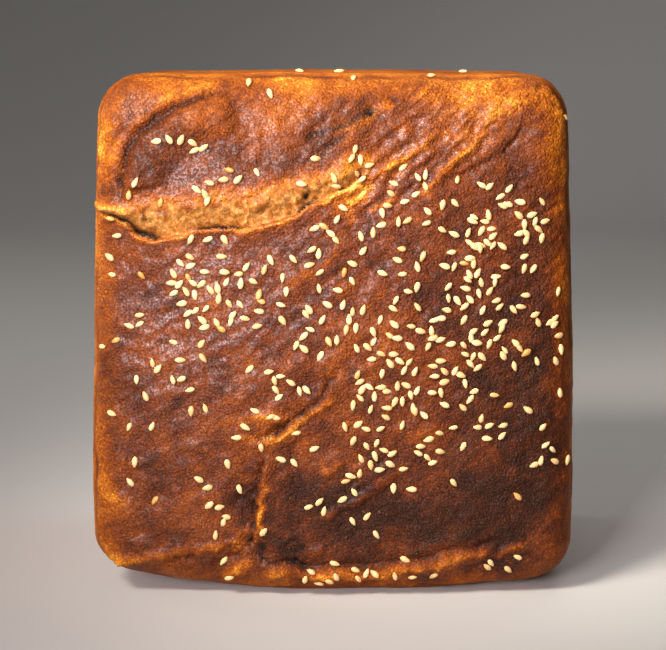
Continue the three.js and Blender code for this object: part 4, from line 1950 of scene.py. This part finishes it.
@dataclass(frozen=True)
class Studio:
    """A pale table and backdrop, soft light and the camera."""

    soft_boxes: tuple[SoftBox, ...] = (
        SoftBox(
            "key_light", (-0.24, -0.34, 0.44), (0.18, 0.18), 0.36, (1.0, 0.93, 0.84),
            aim=(0.012, -0.05, 0.138), spread=40.0,
        ),
        SoftBox("top_light", (0.15, 0.30, 0.85), (0.60, 0.40), 2.0, (1.0, 0.96, 0.92)),
        SoftBox("edge_light", (-0.75, 0.35, 0.30), (0.30, 0.60), 1.6, (1.0, 0.96, 0.92)),
        SoftBox(
            "sheen_light", (-0.22, -0.62, 0.25), (0.22, 0.22), 0.34, (1.0, 0.91, 0.96),
            aim=(-0.012, -0.05, 0.112), spread=34.0,
        ),
    )
    camera_distance: float = 0.72
    camera_elevation: float = 10.0
    lens: float = 120.8
    sweep_half_width: float = 2.2
    sweep_front: float = -1.6
    sweep_back: float = 1.3
    sweep_height: float = 1.8
    sweep_radius: float = 0.5
    sweep_segments: int = 24
    table_colour: Colour = (0.62, 0.605, 0.58)
    world_colour: Colour = (0.86, 0.86, 0.88)
    world_strength: float = 0.1
    exposure: float = 0.0

    def build(self) -> None:
        """Builds the sweep, the lights, the world and the camera."""
        self.sweep()
        for soft_box in self.soft_boxes:
            soft_box.hang()
        self.world()
        self.camera(Vector(LOAF_MIDDLE))
        view = bpy.context.scene.view_settings
        view.view_transform = "Standard"
        view.exposure = self.exposure

    def sweep(self) -> None:
        """A pale sheet that is the table and curves up into the backdrop."""
        bm = bmesh.new()
        front = Vector((0.0, self.sweep_front, 0.0))
        vert = bm.verts.new(front)
        bend = Vector((0.0, self.sweep_back - self.sweep_radius, 0.0))
        extruded = bmesh.ops.extrude_vert_indiv(bm, verts=[vert])
        bmesh.ops.translate(bm, verts=extruded["verts"], vec=bend - front)
        bmesh.ops.spin(
            bm,
            geom=extruded["verts"],
            cent=bend + Vector((0.0, 0.0, self.sweep_radius)),
            axis=(1.0, 0.0, 0.0),
            angle=math.radians(90.0),
            steps=self.sweep_segments,
            use_duplicate=False,
        )
        last = max(bm.verts, key=lambda v: v.co.z + v.co.y)
        extruded = bmesh.ops.extrude_vert_indiv(bm, verts=[last])
        rise = self.sweep_height - self.sweep_radius
        bmesh.ops.translate(bm, verts=extruded["verts"], vec=(0.0, 0.0, rise))
        bmesh.ops.remove_doubles(bm, verts=bm.verts, dist=MM)
        bmesh.ops.translate(bm, verts=bm.verts, vec=(-self.sweep_half_width, 0.0, 0.0))
        sheet = bmesh.ops.extrude_edge_only(bm, edges=bm.edges[:])
        moved = [item for item in sheet["geom"] if isinstance(item, bmesh.types.BMVert)]
        bmesh.ops.translate(bm, verts=moved, vec=(2.0 * self.sweep_half_width, 0.0, 0.0))
        bmesh.ops.recalc_face_normals(bm, faces=bm.faces)
        mesh = bpy.data.meshes.new("table_and_backdrop")
        bm.to_mesh(mesh)
        bm.free()
        mesh.shade_smooth()
        paper = bpy.data.materials.new("pale_paper")
        paper.use_nodes = True
        shader = paper.node_tree.nodes["Principled BSDF"]
        shader.inputs["Base Color"].default_value = (*self.table_colour, 1.0)
        shader.inputs["Roughness"].default_value = 0.85
        mesh.materials.append(paper)
        sheet = bpy.data.objects.new("table_and_backdrop", mesh)
        bpy.context.scene.collection.objects.link(sheet)

    def world(self) -> None:
        """Even, weak light from all round."""
        world = bpy.data.worlds.new("studio_room")
        world.use_nodes = True
        background = world.node_tree.nodes["Background"]
        background.inputs["Color"].default_value = (*self.world_colour, 1.0)
        background.inputs["Strength"].default_value = self.world_strength
        bpy.context.scene.world = world

    def camera(self, aim: Vector) -> None:
        """The camera, a little above the middle of the top crust.

        Args:
            aim: What it looks at.
        """
        data = bpy.data.cameras.new("camera")
        data.lens = self.lens
        data.clip_end = 20.0
        camera = bpy.data.objects.new("camera", data)
        tilt = math.radians(self.camera_elevation)
        camera.location = aim + self.camera_distance * Vector((0.0, -math.cos(tilt), math.sin(tilt)))
        camera.rotation_euler = (aim - camera.location).to_track_quat("-Z", "Y").to_euler()
        bpy.context.scene.collection.objects.link(camera)
        bpy.context.scene.camera = camera


def main() -> None:
    """Builds the loaf's crust and seeds and the studio around them."""
    logging.basicConfig(level=logging.INFO, format="%(name)s: %(message)s")
    groups = SharedGroups.made()
    crust = Crust()
    loaf = crust.build()
    crust.dress(loaf, groups)
    log.info("%s: %d faces", loaf.name, len(loaf.data.polygons))
    seeds = Seeds()
    pieces = seeds.build(loaf, crust.form)
    seeds.dress(pieces)
    for piece in pieces:
        log.info("%s: %d seeds", piece.name, len(seeds.groups[piece.name].seats))
    Studio().build()


if __name__ == "__main__":
    main()
